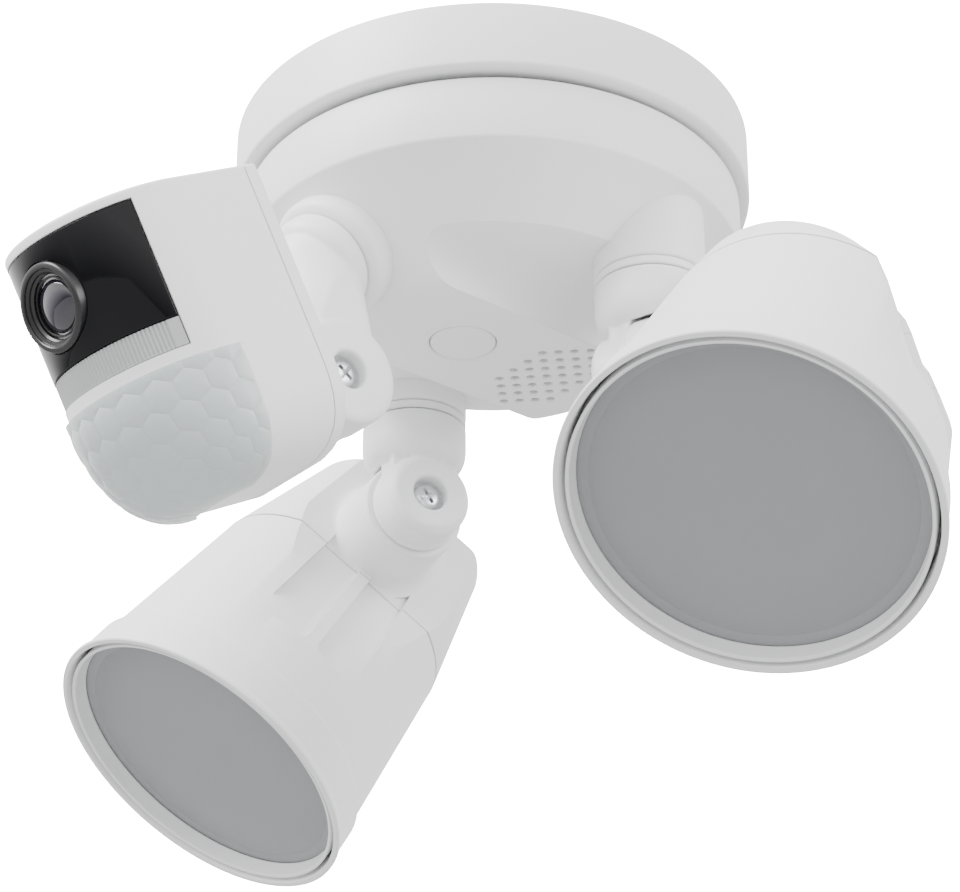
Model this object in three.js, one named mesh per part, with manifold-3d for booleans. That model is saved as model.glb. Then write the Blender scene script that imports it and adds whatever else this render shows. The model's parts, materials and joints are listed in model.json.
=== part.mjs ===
// A ceiling-mounted floodlight camera: a round canopy and housing that carries two swivelling flood
// lamps and, between them at the front, a camera with a motion sensor. Millimetres. +Z points up into the
// ceiling, the back of the mounting plate is the plane z = 0, and the camera looks towards -Y.
import * as THREE from "three";
import { mergeVertices } from "three/addons/utils/BufferGeometryUtils.js";
import Module from "manifold-3d";

const wasm = await Module();
wasm.setup();

// ---------------------------------------------------------------- driving dimensions, mm and degrees

const clearance = 0.3; // between pieces that touch
const slip = 0.35; // round a turning shank or spigot

const canopy = { radius: 80, height: 22, wall: 2.6, flange: 12 };
const plate = { thickness: 3, gap: 1.2, slotSpacing: 89, slotLength: 14, slotWidth: 5.4 };
const wireEntry = { y: 34, radius: 11 };
const gasket = { thickness: 1.2, inset: 4.6, width: 8 };
const housing = { radius: 76.7, side: 20.8, wall: 2.6, chamfer: 0.6, shoulder: 1.2, depth: 28.7 };
const face = { radius: 46, halfWidth: 24, edge: 2 }; // the flat lowest face of the housing
const scoop = { shelf: 12, fillet: 11 }; // cut back beside each lamp arm
const speaker = { y: 21.5, rows: 7, pitch: 6.9, rowPitch: 3.45, hole: 1.25, radius: 14.5, depth: 8 };
const button = { y: -11.5, radius: 9.9, thickness: 2.2, travel: 0.8, stem: 3, stemLength: 5 };
const board = { margin: 14, depth: 9, thickness: 1.6 }; // inside the housing, below its top

const armPlace = { radius: 58, angle: 13.75 }; // each lamp arm's upright axis, from the X axis
const arm = { collar: 16.5, bore: 10.8, bossDrop: 68.3, seal: 2.6, collarHeight: 8, round: 7, neck: 11.9 };
const armHollow = { radius: 5, depth: 34 };
const knuckle = {
  drop: 99.7, // from the ceiling to the tilt axis
  face: 14,
  faceRadius: 11.3,
  chamfer: 1.8,
  radius: 13.8,
  lip: 14.6,
  lipWidth: 2.4,
};
const screw = {
  head: 4.5,
  headHeight: 2.8,
  shank: 2,
  recess: 5.7,
  recessDepth: 5.6,
  slot: 1.1,
  slotDepth: 1.5,
};

const lamp = {
  offset: 51.4, // from the arm's axis to the lamp's own axis
  across: 2.5, // how far the lamp's own axis passes beside the tilt axis
  front: 90.8, // from the tilt axis to the rim
  rim: 52.3,
  collarDepth: 15,
  collarStep: 1.5,
  seam: 18.5,
  seamRadius: 42.6,
  rear: 18.5,
  rearRadius: 32.5,
  rearRound: 3.5,
  rearShift: 11, // how far the rear leans towards the arm
  wall: 2.2,
  lensRecess: 6.2,
  flat: 30, // from the lamp's axis to the flattened side that carries the tilt boss
  flatEdge: 10, // both flattened sides start to slope this far in front of the tilt axis
  flatEnd: 61.5, // and meet the round shell this far in front of it
  flatRise: 47.5, // from the lamp's axis to a flattened side where it meets the shell
  taper: 15, // from the lamp's axis to the outer flattened side at the rear
  boss: 16.4,
};
const lampPose = { right: { pan: 19.7, tilt: 34 }, left: { pan: 14.3, tilt: 34.9 } };

const cameraBoss = { y: -63.4, z: -64.3, slope: 47, radius: 18.8, seam: 15.8, height: 16, bore: 9.5 };
const elbow = { collar: 4.5, neck: 13.4, disc: 16.3, face: 16, back: 1.8, chamfer: 0.6 };
const cameraPivot = { y: -64.8, z: -107.5, tilt: 30 };
const body = {
  forward: 48.8, // from the tilt axis to the centre of the round front
  radius: 31,
  top: 60.3,
  roundStart: 8,
  sideRound: 3.8, // how squarely the sides turn into the underside
  bottom: -23.4, // where the rounding would end
  foot: 1, // the flat underside lies this far above it
  backTop: 18.2,
  backSlope: 0.012,
  heel: 3.5, // how far the back curves forward at the bottom
  cover: 4,
  wall: 2.2,
};
const windowPanel = { top: 57.3, bottom: 22.9, halfAngle: 64 };
const strip = { bottom: 14.7, segments: 24 };
const motionLens = { top: 10.7, back: 50, thickness: 1.6 };
const lens = { z: 39.7, ring: 12.6, ringInner: 9, proud: 1.2, barrel: 8.4, glass: 7.4 };

const fine = 32; // segments round the large turned pieces
const medium = 22;
const coarse = 12;

// ---------------------------------------------------------------- materials

function finish(color, roughness, metalness = 0) {
  return new THREE.MeshStandardMaterial({ color, roughness, metalness });
}

const whitePlastic = () => finish(0xf1f1ef, 0.42);
const greyPlastic = () => finish(0xc4c6c6, 0.45);
const darkRubber = () => finish(0x2b2c2e, 0.85);
const blackGloss = () => finish(0x08080a, 0.06);
const frosted = () => finish(0x85878a, 0.5);
const steel = () => finish(0xc9cbce, 0.3, 1);
const circuit = () => finish(0x1f5b38, 0.6);
const darkPlastic = () => finish(0x17181a, 0.35);

// ---------------------------------------------------------------- shapes and booleans

const radians = THREE.MathUtils.degToRad;

// A closed geometry as a solid with its faces outwards. Triangles with two equal corners are left out.
function solid(geometry) {
  const bare = new THREE.BufferGeometry();
  const source = geometry.index ? geometry.toNonIndexed() : geometry;
  bare.setAttribute("position", source.getAttribute("position"));
  const merged = mergeVertices(bare, 1e-4);
  const at = merged.getAttribute("position");
  const corner = [0, 1, 2].map(() => new THREE.Vector3());
  const triangles = [];
  let volume = 0;
  for (let i = 0; i < merged.index.count; i += 3) {
    const abc = [0, 1, 2].map((k) => merged.index.getX(i + k));
    if (new Set(abc).size < 3) continue;
    abc.forEach((v, k) => corner[k].fromBufferAttribute(at, v));
    volume += corner[0].dot(corner[1].clone().cross(corner[2]));
    triangles.push(abc);
  }
  if (volume < 0) triangles.forEach((abc) => abc.reverse());
  const mesh = new wasm.Mesh({
    numProp: 3,
    vertProperties: new Float32Array(at.array),
    triVerts: new Uint32Array(triangles.flat()),
  });
  return new wasm.Manifold(mesh);
}

function geometryOf(made) {
  const mesh = made.getMesh();
  const geometry = new THREE.BufferGeometry();
  geometry.setAttribute("position", new THREE.BufferAttribute(mesh.vertProperties, 3));
  geometry.setIndex(new THREE.BufferAttribute(mesh.triVerts, 1));
  return geometry;
}

const fuse = (...parts) => geometryOf(parts.map(solid).reduce((a, b) => a.add(b)));
const carve = (base, ...tools) => geometryOf(tools.map(solid).reduce((a, b) => a.subtract(b), solid(base)));
const common = (a, b) => geometryOf(solid(a).intersect(solid(b)));

// A profile of [radius, z] points turned about the Z axis. It starts and ends on the axis, or closes.
function turned(profile, segments = medium) {
  const points = profile.map(([r, z]) => new THREE.Vector2(r, z));
  return new THREE.LatheGeometry(points, segments).rotateX(Math.PI / 2);
}

const closed = (profile) => [...profile, profile[0]];

function rod(radius, z0, z1, segments = coarse) {
  const profile = [[0, z0], [radius, z0], [radius, z1], [0, z1]];
  return turned(profile, segments);
}

function tube(outer, inner, z0, z1, segments = medium) {
  const profile = [[inner, z0], [outer, z0], [outer, z1], [inner, z1]];
  return turned(closed(profile), segments);
}

// A rod along X from x0 to x1, centred on y and z.
function crossRod(radius, x0, x1, y = 0, z = 0, segments = coarse) {
  return rod(radius, x0, x1, segments).rotateY(Math.PI / 2).translate(0, y, z);
}

function block([x0, x1], [y0, y1], [z0, z1]) {
  const box = new THREE.BoxGeometry(x1 - x0, y1 - y0, z1 - z0);
  return box.translate((x0 + x1) / 2, (y0 + y1) / 2, (z0 + z1) / 2);
}

function extruded(shape, depth, curveSegments = 8) {
  return new THREE.ExtrudeGeometry(shape, { depth, bevelEnabled: false, curveSegments });
}

// A quarter of an arc as [radius, z] points, from angle a0 to a1 in degrees.
function arcPoints(cx, cz, radius, a0, a1, steps = 4) {
  return Array.from({ length: steps + 1 }, (_, i) => {
    const angle = radians(a0 + ((a1 - a0) * i) / steps);
    return [cx + radius * Math.cos(angle), cz + radius * Math.sin(angle)];
  });
}

// Skins a stack of rings, each with the same number of points, and caps both ends.
function lofted(rings) {
  const count = rings[0].length;
  const points = rings.flat();
  const index = [];
  for (let level = 0; level + 1 < rings.length; level++) {
    for (let i = 0; i < count; i++) {
      const a = level * count + i;
      const b = level * count + ((i + 1) % count);
      index.push(a, b, b + count, a, b + count, a + count);
    }
  }
  const flat = (ring) => ring.map((p) => new THREE.Vector2(p.x, p.y));
  const anticlockwise = THREE.ShapeUtils.area(flat(rings[0])) > 0;
  const cap = (ring, first, reversed) => {
    THREE.ShapeUtils.triangulateShape(flat(ring), []).forEach(([a, b, c]) => {
      const corners = reversed ? [a, c, b] : [a, b, c];
      index.push(...corners.map((corner) => first + corner));
    });
  };
  cap(rings[0], 0, anticlockwise);
  cap(rings.at(-1), (rings.length - 1) * count, !anticlockwise);
  const geometry = new THREE.BufferGeometry().setFromPoints(points);
  geometry.setIndex(index);
  return geometry;
}

function piece(name, geometry, material) {
  const flat = geometry.index ? geometry.toNonIndexed() : geometry;
  flat.computeVertexNormals();
  const mesh = new THREE.Mesh(flat, material);
  mesh.name = name;
  return mesh;
}

// A cross-recessed screw along X: its head's outer face is at x = 0 and its shank runs towards +X.
function crossScrew(length) {
  const head = crossRod(screw.head, 0, screw.headHeight);
  const shank = crossRod(screw.shank, screw.headHeight - 0.5, length, 0, 0, 12);
  const half = screw.head * 0.62;
  const across = block([-1, screw.slotDepth], [-half, half], [-screw.slot / 2, screw.slot / 2]);
  const upright = block([-1, screw.slotDepth], [-screw.slot / 2, screw.slot / 2], [-half, half]);
  return carve(fuse(head, shank), across, upright);
}

// ---------------------------------------------------------------- canopy and housing

const gasketTop = -canopy.height - clearance;
const housingTop = gasketTop - gasket.thickness - clearance;
const housingEdge = housingTop - housing.side; // the crisp lower edge of the upright side
const faceZ = housingEdge - housing.depth;
const shelfZ = faceZ + scoop.shelf;
const armX = armPlace.radius * Math.cos(radians(armPlace.angle));
const armY = armPlace.radius * Math.sin(radians(armPlace.angle));
const bossTop = -42; // inside the housing, where the arm's retainer sits

function backPlate() {
  const radius = canopy.radius - canopy.wall - plate.gap;
  const disc = rod(radius, -plate.thickness, 0, fine);
  const wires = rod(wireEntry.radius, -plate.thickness - 1, 1).translate(0, wireEntry.y, 0);
  const slots = [-1, 1].map((side) => {
    const x = (side * plate.slotSpacing) / 2;
    const half = plate.slotWidth / 2;
    const reach = plate.slotLength / 2 - half;
    const shape = new THREE.Shape();
    shape.absarc(reach, 0, half, -Math.PI / 2, Math.PI / 2);
    shape.absarc(-reach, 0, half, Math.PI / 2, (3 * Math.PI) / 2);
    return extruded(shape, plate.thickness + 2, 4).translate(x, 0, -plate.thickness - 1);
  });
  return carve(disc, wires, ...slots);
}

function canopyRing() {
  const r = canopy.radius;
  const inner = r - canopy.wall;
  const floor = -canopy.height + canopy.wall;
  const lip = 0.8;
  return turned(closed([
    [inner, 0],
    [inner, floor],
    [r - canopy.flange, floor],
    [r - canopy.flange, -canopy.height],
    [r - lip, -canopy.height],
    [r, -canopy.height + lip],
    [r, -lip],
    [r - lip, 0],
  ]), fine);
}

function grooveGasket() {
  const outer = housing.radius - gasket.inset;
  return tube(outer, outer - gasket.width, gasketTop - gasket.thickness, gasketTop, fine);
}

// The housing's turned body, offset inwards by inset: an upright side, then a cone down to the face.
function housingBody(inset, top) {
  const slope = Math.atan2(housing.depth, housing.radius - face.radius);
  const shift = inset / Math.sin(slope) - inset / Math.tan(slope);
  const bottom = faceZ + inset;
  const side = housing.radius - inset;
  const edge = face.edge;
  return turned([
    [0, bottom],
    [face.radius - edge - shift, bottom],
    [face.radius - shift * 0.9, bottom + edge * 0.45],
    [face.radius + edge - shift, bottom + edge * 1.6],
    [side - housing.chamfer, housingEdge + shift * 0.2],
    [side, housingEdge + housing.chamfer],
    [side, top - housing.shoulder],
    ...arcPoints(side - housing.shoulder, top - housing.shoulder, housing.shoulder, 22, 90, 3),
    [0, top],
  ], fine);
}

// The space cut back beside one lamp arm, below the shelf and outside the filleted wall.
function scoopTool(side, grow) {
  const wallX = face.halfWidth - grow;
  const shelf = shelfZ + grow;
  const r = scoop.fillet + grow;
  const low = faceZ - 20;
  const far = housing.radius + 20;
  const shape = new THREE.Shape();
  shape.moveTo(wallX, low);
  shape.lineTo(wallX, shelf - r);
  shape.absarc(wallX + r, shelf - r, r, Math.PI, Math.PI / 2, true);
  shape.lineTo(far, shelf);
  shape.lineTo(far, low);
  const length = 2 * housing.radius;
  const tool = extruded(shape, length, 10).rotateX(Math.PI / 2).translate(0, length / 2, 0);
  return side > 0 ? tool : tool.rotateZ(Math.PI);
}

// Turns a piece made along Z so that its -Z points out along the camera boss's axis, and puts it there.
function alongCameraBoss(geometry) {
  return geometry.rotateX(radians(cameraBoss.slope - 90)).translate(0, cameraBoss.y, cameraBoss.z);
}

function speakerHoles() {
  const holes = [];
  const half = (speaker.rows - 1) / 2;
  for (let row = -half; row <= half; row++) {
    const count = speaker.rows - Math.abs(row);
    for (let i = 0; i < count; i++) {
      const x = (i - (count - 1) / 2) * speaker.pitch;
      const y = speaker.y + row * speaker.rowPitch;
      holes.push(rod(speaker.hole, faceZ - 1, faceZ + housing.wall + 1, 6).translate(x, y, 0));
    }
  }
  return holes;
}

function drumShell() {
  const sides = [-1, 1];
  const bossAt = (geometry, side) => geometry.translate(side * armX, armY, 0);
  const outer = carve(housingBody(0, housingTop), scoopTool(1, 0), scoopTool(-1, 0));
  const armBosses = sides.map((side) => bossAt(rod(arm.collar, -arm.bossDrop, bossTop, medium), side));
  const rounded = arcPoints(cameraBoss.seam, 4, cameraBoss.radius - cameraBoss.seam, 0, -90, 3).reverse();
  const cameraProfile = [[0, 0], [cameraBoss.seam, 0], ...rounded.map(([r, z]) => [r, z - 0.2]).slice(1)];
  const cameraTop = [[cameraBoss.radius, cameraBoss.height], [0, cameraBoss.height]];
  const cameraRound = alongCameraBoss(turned([...cameraProfile, ...cameraTop]));
  const full = fuse(outer, ...armBosses, cameraRound);

  const insideTop = housingTop + 5;
  const shelves = sides.map((side) => scoopTool(side, housing.wall));
  const cavity = carve(housingBody(housing.wall, insideTop), ...shelves);
  const keep = [
    ...sides.map((side) => bossAt(rod(arm.collar, faceZ, bossTop, medium), side)),
    alongCameraBoss(rod(cameraBoss.radius - 0.4, -5, cameraBoss.height - 0.4, medium)),
  ];
  const hollow = carve(cavity, ...keep);
  const bores = [
    ...sides.map((side) => bossAt(rod(arm.bore, faceZ - 5, bossTop + 5, medium), side)),
    alongCameraBoss(rod(cameraBoss.bore, -10, cameraBoss.height + 5, medium)),
    rod(button.radius + clearance, faceZ - 1, faceZ + housing.wall + 1, medium).translate(0, button.y, 0),
  ];
  return carve(full, hollow, ...bores, ...speakerHoles());
}

function podButton() {
  const low = faceZ + 0.1;
  const cap = rod(button.radius, low, low + button.thickness, medium);
  const flange = tube(button.radius - 0.2, button.radius - 1.6, low + 1, low + button.thickness + 1.4);
  const stem = rod(button.stem, low + button.thickness - 0.5, low + button.thickness + button.stemLength);
  return fuse(cap, flange, stem).translate(0, button.y, 0);
}

function buttonSwitch() {
  const low = faceZ + 0.1 + button.thickness + button.stemLength + button.travel + clearance;
  const board = block([-11, 11], [-7, 7], [low + 3, low + 4.4]);
  const cap = rod(2.4, low, low + 3.5, 12);
  return fuse(board, cap).translate(0, button.y, 0);
}

function speakerDriver() {
  const low = faceZ + housing.wall + clearance;
  const r = speaker.radius;
  const cone = [[0, low + 2], [r - 3, low + 1.2], [r - 2, low], [r, low], [r, low + 3]];
  const magnet = [[r * 0.55, low + 5], [r * 0.55, low + speaker.depth], [0, low + speaker.depth]];
  return turned([...cone, ...magnet], coarse).translate(0, speaker.y, 0);
}

const boardTop = housingTop - board.depth + board.thickness;

function mainBoard() {
  const z = housingTop - board.depth;
  const disc = rod(housing.radius - housing.wall - board.margin, z, boardTop, medium);
  const chips = [
    block([-14, 2], [-34, -18], [boardTop - 0.1, boardTop + 2]),
    block([10, 22], [-30, -18], [boardTop - 0.1, boardTop + 1.4]),
    block([-30, -22], [-30, -20], [boardTop - 0.1, boardTop + 4.4]),
  ];
  return fuse(disc, ...chips);
}

function powerModule() {
  const z = boardTop + clearance;
  const base = block([-26, 26], [-12, 18], [z, z + 14]);
  const coil = rod(10, z + 13.5, z + 19, coarse).translate(-10, 3, 0);
  const can = rod(5, z + 13.5, z + 20, 16).translate(14, 6, 0);
  return fuse(base, coil, can);
}

function terminalBlock() {
  const z = boardTop + clearance;
  const shell = block([-15, 15], [46, 57], [z, z + 11]);
  const ways = [-10, 0, 10].map((x) => block([x - 3, x + 3], [44, 52], [z + 3, z + 8]));
  return carve(shell, ...ways);
}

// ---------------------------------------------------------------- a lamp arm, made for the right side

const sealTop = -arm.bossDrop - clearance;
const collarTop = sealTop - arm.seal - clearance;
const collarLow = collarTop - arm.collarHeight;

function swivelSeal() {
  return tube(arm.collar, arm.bore, sealTop - arm.seal, sealTop);
}

function swivelArm() {
  const spigot = arm.bore - slip;
  const top = bossTop + 4;
  const rounded = arcPoints(arm.neck, collarLow, arm.collar - arm.neck, 0, -90, 4);
  const squash = ([r, z]) => [r, collarLow + ((z - collarLow) * arm.round) / (arm.collar - arm.neck)];
  const upright = turned([
    [0, top],
    [spigot, top],
    [spigot, collarTop],
    [arm.collar, collarTop],
    ...rounded.map(squash),
    [arm.neck, -knuckle.drop],
    [0, -knuckle.drop],
  ]);
  const seam = -clearance - 0.6; // the knuckle's end face, beside the lamp's boss
  const z = -knuckle.drop;
  const disc = turned([
    [0, -knuckle.face],
    [knuckle.faceRadius, -knuckle.face],
    [knuckle.radius, -knuckle.face + knuckle.chamfer],
    [knuckle.radius, seam - knuckle.lipWidth - 1],
    [knuckle.lip, seam - knuckle.lipWidth],
    [knuckle.lip, seam],
    [0, seam],
  ]).rotateY(Math.PI / 2).translate(0, 0, z);
  const ribZ = [z, collarLow - arm.round * 0.4];
  const ribs = [-1, 1].map((side) => {
    const rib = block([-1.2, 1.2], [-1.1, 1.1], ribZ);
    return rib.translate(-arm.neck * 0.62, side * arm.neck * 0.82, 0);
  });
  const beyond = crossRod(lamp.boss + 1, seam, lamp.offset, 0, z, medium);
  const recess = crossRod(screw.recess, -knuckle.face - 1, -knuckle.face + screw.recessDepth, 0, z);
  const hole = crossRod(screw.shank + slip, -knuckle.face, lamp.offset, 0, z);
  const hollow = rod(armHollow.radius, top - armHollow.depth, top + 1);
  return carve(fuse(carve(upright, beyond), carve(disc, beyond), ...ribs), recess, hole, hollow);
}

function armRetainer() {
  const low = bossTop + clearance;
  return tube(arm.bore + 3.6, arm.bore, low, low + 2.4);
}

function tiltScrew() {
  const start = -knuckle.face + screw.recessDepth - screw.headHeight - clearance;
  return crossScrew(-start + 12).translate(start, 0, -knuckle.drop);
}

// ---------------------------------------------------------------- a lamp head
// Made round the Z axis with its front towards -Z and its tilt axis at z = 0, then moved to the lamp's own
// axis. Both sides are flattened: the one towards -X carries the tilt boss, the outer one slopes in.

const lensPlane = lamp.front - lamp.lensRecess;
const ledge = lensPlane - 3.6;
const lensRadius = lamp.rim - 3.2;
const toLampAxis = (geometry) => geometry.translate(lamp.offset, lamp.across, 0);
const flatX = lamp.offset - lamp.flat;

function shellOuter() {
  const collarBack = lamp.front - lamp.collarDepth;
  const collar = lamp.rim - 1;
  const cone = collar - lamp.collarStep;
  const behind = -lamp.seam - clearance;
  return toLampAxis(turned([
    [0, behind],
    [lamp.seamRadius, behind],
    [cone - 0.8, -collarBack + 0.6],
    [collar - 0.8, -collarBack - 1],
    [collar, -lamp.front + 3],
    [lamp.rim, -lamp.front + 1.6],
    [lamp.rim, -lamp.front],
    [0, -lamp.front],
  ]));
}

function shellCavity() {
  const collarBack = lamp.front - lamp.collarDepth;
  const w = lamp.wall;
  return toLampAxis(turned([
    [0, 0],
    [lamp.seamRadius - w, 0],
    [lamp.seamRadius - w, -lamp.seam],
    [lensRadius - 3 - w, -collarBack],
    [lensRadius - 3, -collarBack - 2],
    [lensRadius - 3, -ledge],
    [lensRadius + clearance, -ledge],
    [lamp.rim - 1.7, -lamp.front - 0.5],
    [0, -lamp.front - 0.5],
  ]));
}

// The rear's outline, offset inwards by inset: a cone that leans towards the arm as it rises.
function lampRear(inset) {
  const low = -lamp.seam - inset;
  const seam = lamp.seamRadius - inset;
  const radius = lamp.rearRadius - inset;
  const top = lamp.rear - inset;
  const cone = turned([
    [0, top],
    ...arcPoints(radius - lamp.rearRound, top - lamp.rearRound, lamp.rearRound, 90, 10, 4),
    [seam, -lamp.seam],
    [seam, low - 0.01],
    [0, low - 0.01],
  ]);
  const lean = -lamp.rearShift / (lamp.rear + lamp.seam);
  const shear = new THREE.Matrix4().set(1, 0, lean, lean * lamp.seam, 0, 1, 0, 0, 0, 0, 1, 0, 0, 0, 0, 1);
  return toLampAxis(cone.applyMatrix4(shear));
}

// What one flattened side takes off, in the lamp's own frame: a slope from the round shell, then a rise to
// the rear that starts lamp.flat from the axis and ends at the given distance.
function flatTool(side, atRear, grow) {
  const outside = 2 * lamp.rim;
  const shape = new THREE.Shape();
  shape.moveTo(side * outside, lamp.rear + 1);
  shape.lineTo(side * (atRear - grow), lamp.rear + 1);
  shape.lineTo(side * (lamp.flat - grow), -lamp.flatEdge);
  shape.lineTo(side * (lamp.flatRise - grow), -lamp.flatEnd);
  shape.lineTo(side * outside, -lamp.flatEnd);
  const width = 3 * lamp.rim;
  return toLampAxis(extruded(shape, width).rotateX(Math.PI / 2).translate(0, width / 2, 0));
}

const flatTools = (grow) => [flatTool(-1, lamp.flat, grow), flatTool(1, lamp.taper, grow)];
function flattened(outer, cavity) {
  return carve(carve(outer, ...flatTools(0)), carve(cavity, ...flatTools(lamp.wall)));
}

const headShell = () => flattened(shellOuter(), shellCavity());

function rearCap() {
  const boss = crossRod(lamp.boss, -0.6, flatX + 1, 0, 0, medium);
  const bore = crossRod(screw.shank + slip, -2, 14, 0, 0, 12);
  const beads = [-1, 0, 1].map((side) => {
    const y = side * lamp.boss * 0.85;
    const start = side ? 4 : -lamp.boss + 1;
    return block([flatX - 1.4, flatX + 1], [y - 1.4, y + 1.4], [-lamp.seam, start]);
  });
  return carve(fuse(flattened(lampRear(0), lampRear(lamp.wall)), boss, ...beads), bore);
}

// A disc or ring round the lamp's axis, between two distances in front of the tilt axis.
function frontDisc(outer, inner, near, far) {
  return toLampAxis(inner ? tube(outer, inner, -far, -near) : rod(outer, -far, -near, medium));
}

const lensGasket = () => frontDisc(lensRadius - 0.2, lensRadius - 2.6, ledge + clearance, ledge + 0.9);
const lampLens = () => frontDisc(lensRadius - 0.1, 0, ledge + 1.2, lensPlane);

function lensRetainer() {
  const back = -lensPlane - clearance;
  const front = -lamp.front + 1;
  const outer = lensRadius - 0.1;
  const section = [[outer, back], [outer - 1.6, back], [outer - 1.1, front], [outer, front]];
  return toLampAxis(turned(closed(section)));
}

function reflector() {
  const back = -lamp.front + 34;
  const front = -ledge + 3;
  const wide = lensRadius - 6;
  return toLampAxis(turned(closed([[14, back], [wide, front], [wide + 1.2, front], [15.4, back]])));
}

const ledBoard = () => frontDisc(21, 0, lamp.front - 37, lamp.front - 35.2);

function heatSink() {
  const front = lamp.front - 37 - clearance;
  const base = rod(24, -front, -front + 4, coarse);
  const finZ = [-front + 3.5, -front + 24];
  const fins = [-16, -8, 0, 8, 16].map((y) => block([-14, 14], [y - 1, y + 1], finZ));
  return toLampAxis(fuse(base, ...fins));
}

function lampArm(side, pose) {
  const name = (word) => side + "_" + word;
  const sign = side === "right" ? 1 : -1;
  const place = new THREE.Group();
  place.scale.x = sign;
  const swivel = new THREE.Group();
  swivel.position.set(armX, armY, 0);
  swivel.rotation.z = radians(pose.pan);
  const head = new THREE.Group();
  head.position.z = -knuckle.drop;
  head.rotation.x = -radians(pose.tilt);
  swivel.add(
    piece(name("swivel_seal"), swivelSeal(), darkRubber()),
    piece(name("swivel_arm"), swivelArm(), whitePlastic()),
    piece(name("arm_retainer"), armRetainer(), steel()),
    piece(name("tilt_screw"), tiltScrew(), steel()),
    head,
  );
  head.add(
    piece(name("lamp_shell"), headShell(), whitePlastic()),
    piece(name("lamp_rear_cap"), rearCap(), whitePlastic()),
    piece(name("lens_gasket"), lensGasket(), darkRubber()),
    piece(name("lamp_lens"), lampLens(), frosted()),
    piece(name("lens_retainer"), lensRetainer(), whitePlastic()),
    piece(name("reflector"), reflector(), steel()),
    piece(name("led_board"), ledBoard(), whitePlastic()),
    piece(name("heat_sink"), heatSink(), steel()),
  );
  place.add(swivel);
  return place;
}

// ---------------------------------------------------------------- camera arm

function cameraElbow() {
  const spigot = cameraBoss.bore - slip;
  const collar = elbow.collar;
  const stub = alongCameraBoss(turned([
    [0, cameraBoss.height + 4],
    [spigot, cameraBoss.height + 4],
    [spigot, -clearance],
    [cameraBoss.seam, -clearance],
    [cameraBoss.seam, -collar],
    ...arcPoints(elbow.neck - 2, -collar, cameraBoss.seam - elbow.neck + 2, 0, -80, 3).slice(1),
    [0, -collar - 5.4],
  ]));
  const start = new THREE.Vector3(0, cameraBoss.y - 4, cameraBoss.z - 5);
  const end = new THREE.Vector3((elbow.face + elbow.back) / 2, cameraPivot.y, cameraPivot.z);
  const along = end.clone().sub(start);
  const neck = new THREE.CylinderGeometry(elbow.neck - 1.2, elbow.neck, along.length(), coarse);
  const down = new THREE.Vector3(0, -1, 0);
  neck.applyQuaternion(new THREE.Quaternion().setFromUnitVectors(down, along.clone().normalize()));
  const middle = start.clone().add(end).multiplyScalar(0.5);
  neck.translate(middle.x, middle.y, middle.z);
  const disc = crossRod(elbow.disc, elbow.back, elbow.face, cameraPivot.y, cameraPivot.z, medium);
  const shoulder = new THREE.SphereGeometry(elbow.neck, coarse, 12).translate(start.x, start.y, start.z);
  const behindBoss = alongCameraBoss(rod(60, -clearance, 60));
  const outside = block([elbow.face - elbow.chamfer, 60], [-200, 0], [-200, 0]);
  const body = carve(fuse(neck, shoulder), behindBoss, outside);
  const lugRoom = crossRod(elbow.disc + 1, -40, elbow.back, cameraPivot.y, cameraPivot.z, medium);
  const seat = elbow.face - screw.recessDepth;
  const recess = crossRod(screw.recess, seat, elbow.face + 1, cameraPivot.y, cameraPivot.z);
  const hole = crossRod(screw.shank + slip, -20, elbow.face, cameraPivot.y, cameraPivot.z);
  return carve(fuse(stub, carve(body, lugRoom), disc), recess, hole);
}

function cameraRetainer() {
  const low = cameraBoss.height + clearance;
  return alongCameraBoss(tube(cameraBoss.bore + 3.6, cameraBoss.bore, low, low + 2.2));
}

function cameraScrew() {
  const start = elbow.face - screw.recessDepth + screw.headHeight + clearance;
  return crossScrew(start + 8).rotateZ(Math.PI).translate(start, cameraPivot.y, cameraPivot.z);
}

// ---------------------------------------------------------------- camera head
// Made with its tilt axis along X through the origin, looking towards -Y, then tilted down.

function backAt(z) {
  const low = Math.min(1, Math.max(0, z / body.bottom));
  return -(body.backTop + (body.top - z) * body.backSlope + body.heel * low ** 2);
}

// The U-shaped outline at height z, offset inwards by inset: a round front and straight sides to the back.
function bodyOutline(z, inset, back) {
  const t = Math.max(0, (body.roundStart - z) / (body.roundStart - body.bottom));
  const half = body.radius * Math.pow(1 - t ** body.sideRound, 1 / body.sideRound) - inset;
  const reach = body.radius * Math.sqrt(1 - t ** 2) - inset;
  const steps = 20;
  const ring = [];
  for (let i = 0; i <= steps; i++) {
    const angle = Math.PI * (i / steps);
    ring.push(new THREE.Vector3(half * Math.cos(angle), -body.forward - reach * Math.sin(angle), z));
  }
  ring.push(new THREE.Vector3(-half, back, z), new THREE.Vector3(half, back, z));
  return ring;
}

function roundLevels(inset) {
  const height = body.roundStart - body.bottom - body.foot - inset;
  return [1, 0.94, 0.84, 0.7, 0.5, 0.25, 0].map((share) => body.roundStart - height * share);
}

function bodySolid(inset, backShift) {
  const levels = [...roundLevels(inset), body.top - inset];
  return lofted(levels.map((z) => bodyOutline(z, inset, backAt(z) + backShift)));
}

// A band of the round front between two radii, two heights and plus or minus an angle.
function frontBand(inner, outer, z0, z1, halfAngle, steps = 16) {
  const half = radians(halfAngle);
  const at = (r, a) => new THREE.Vector2(r * Math.sin(a), -body.forward - r * Math.cos(a));
  const ring = [];
  for (let i = 0; i <= steps; i++) ring.push(at(outer, -half + (2 * half * i) / steps));
  for (let i = steps; i >= 0; i--) ring.push(at(inner, -half + (2 * half * i) / steps));
  return lofted([z0, z1].map((z) => ring.map((p) => new THREE.Vector3(p.x, p.y, z))));
}

const seamShift = -body.cover;
const lensHole = (radius) => alongLens(rod(radius, 0, 60, medium));

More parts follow.
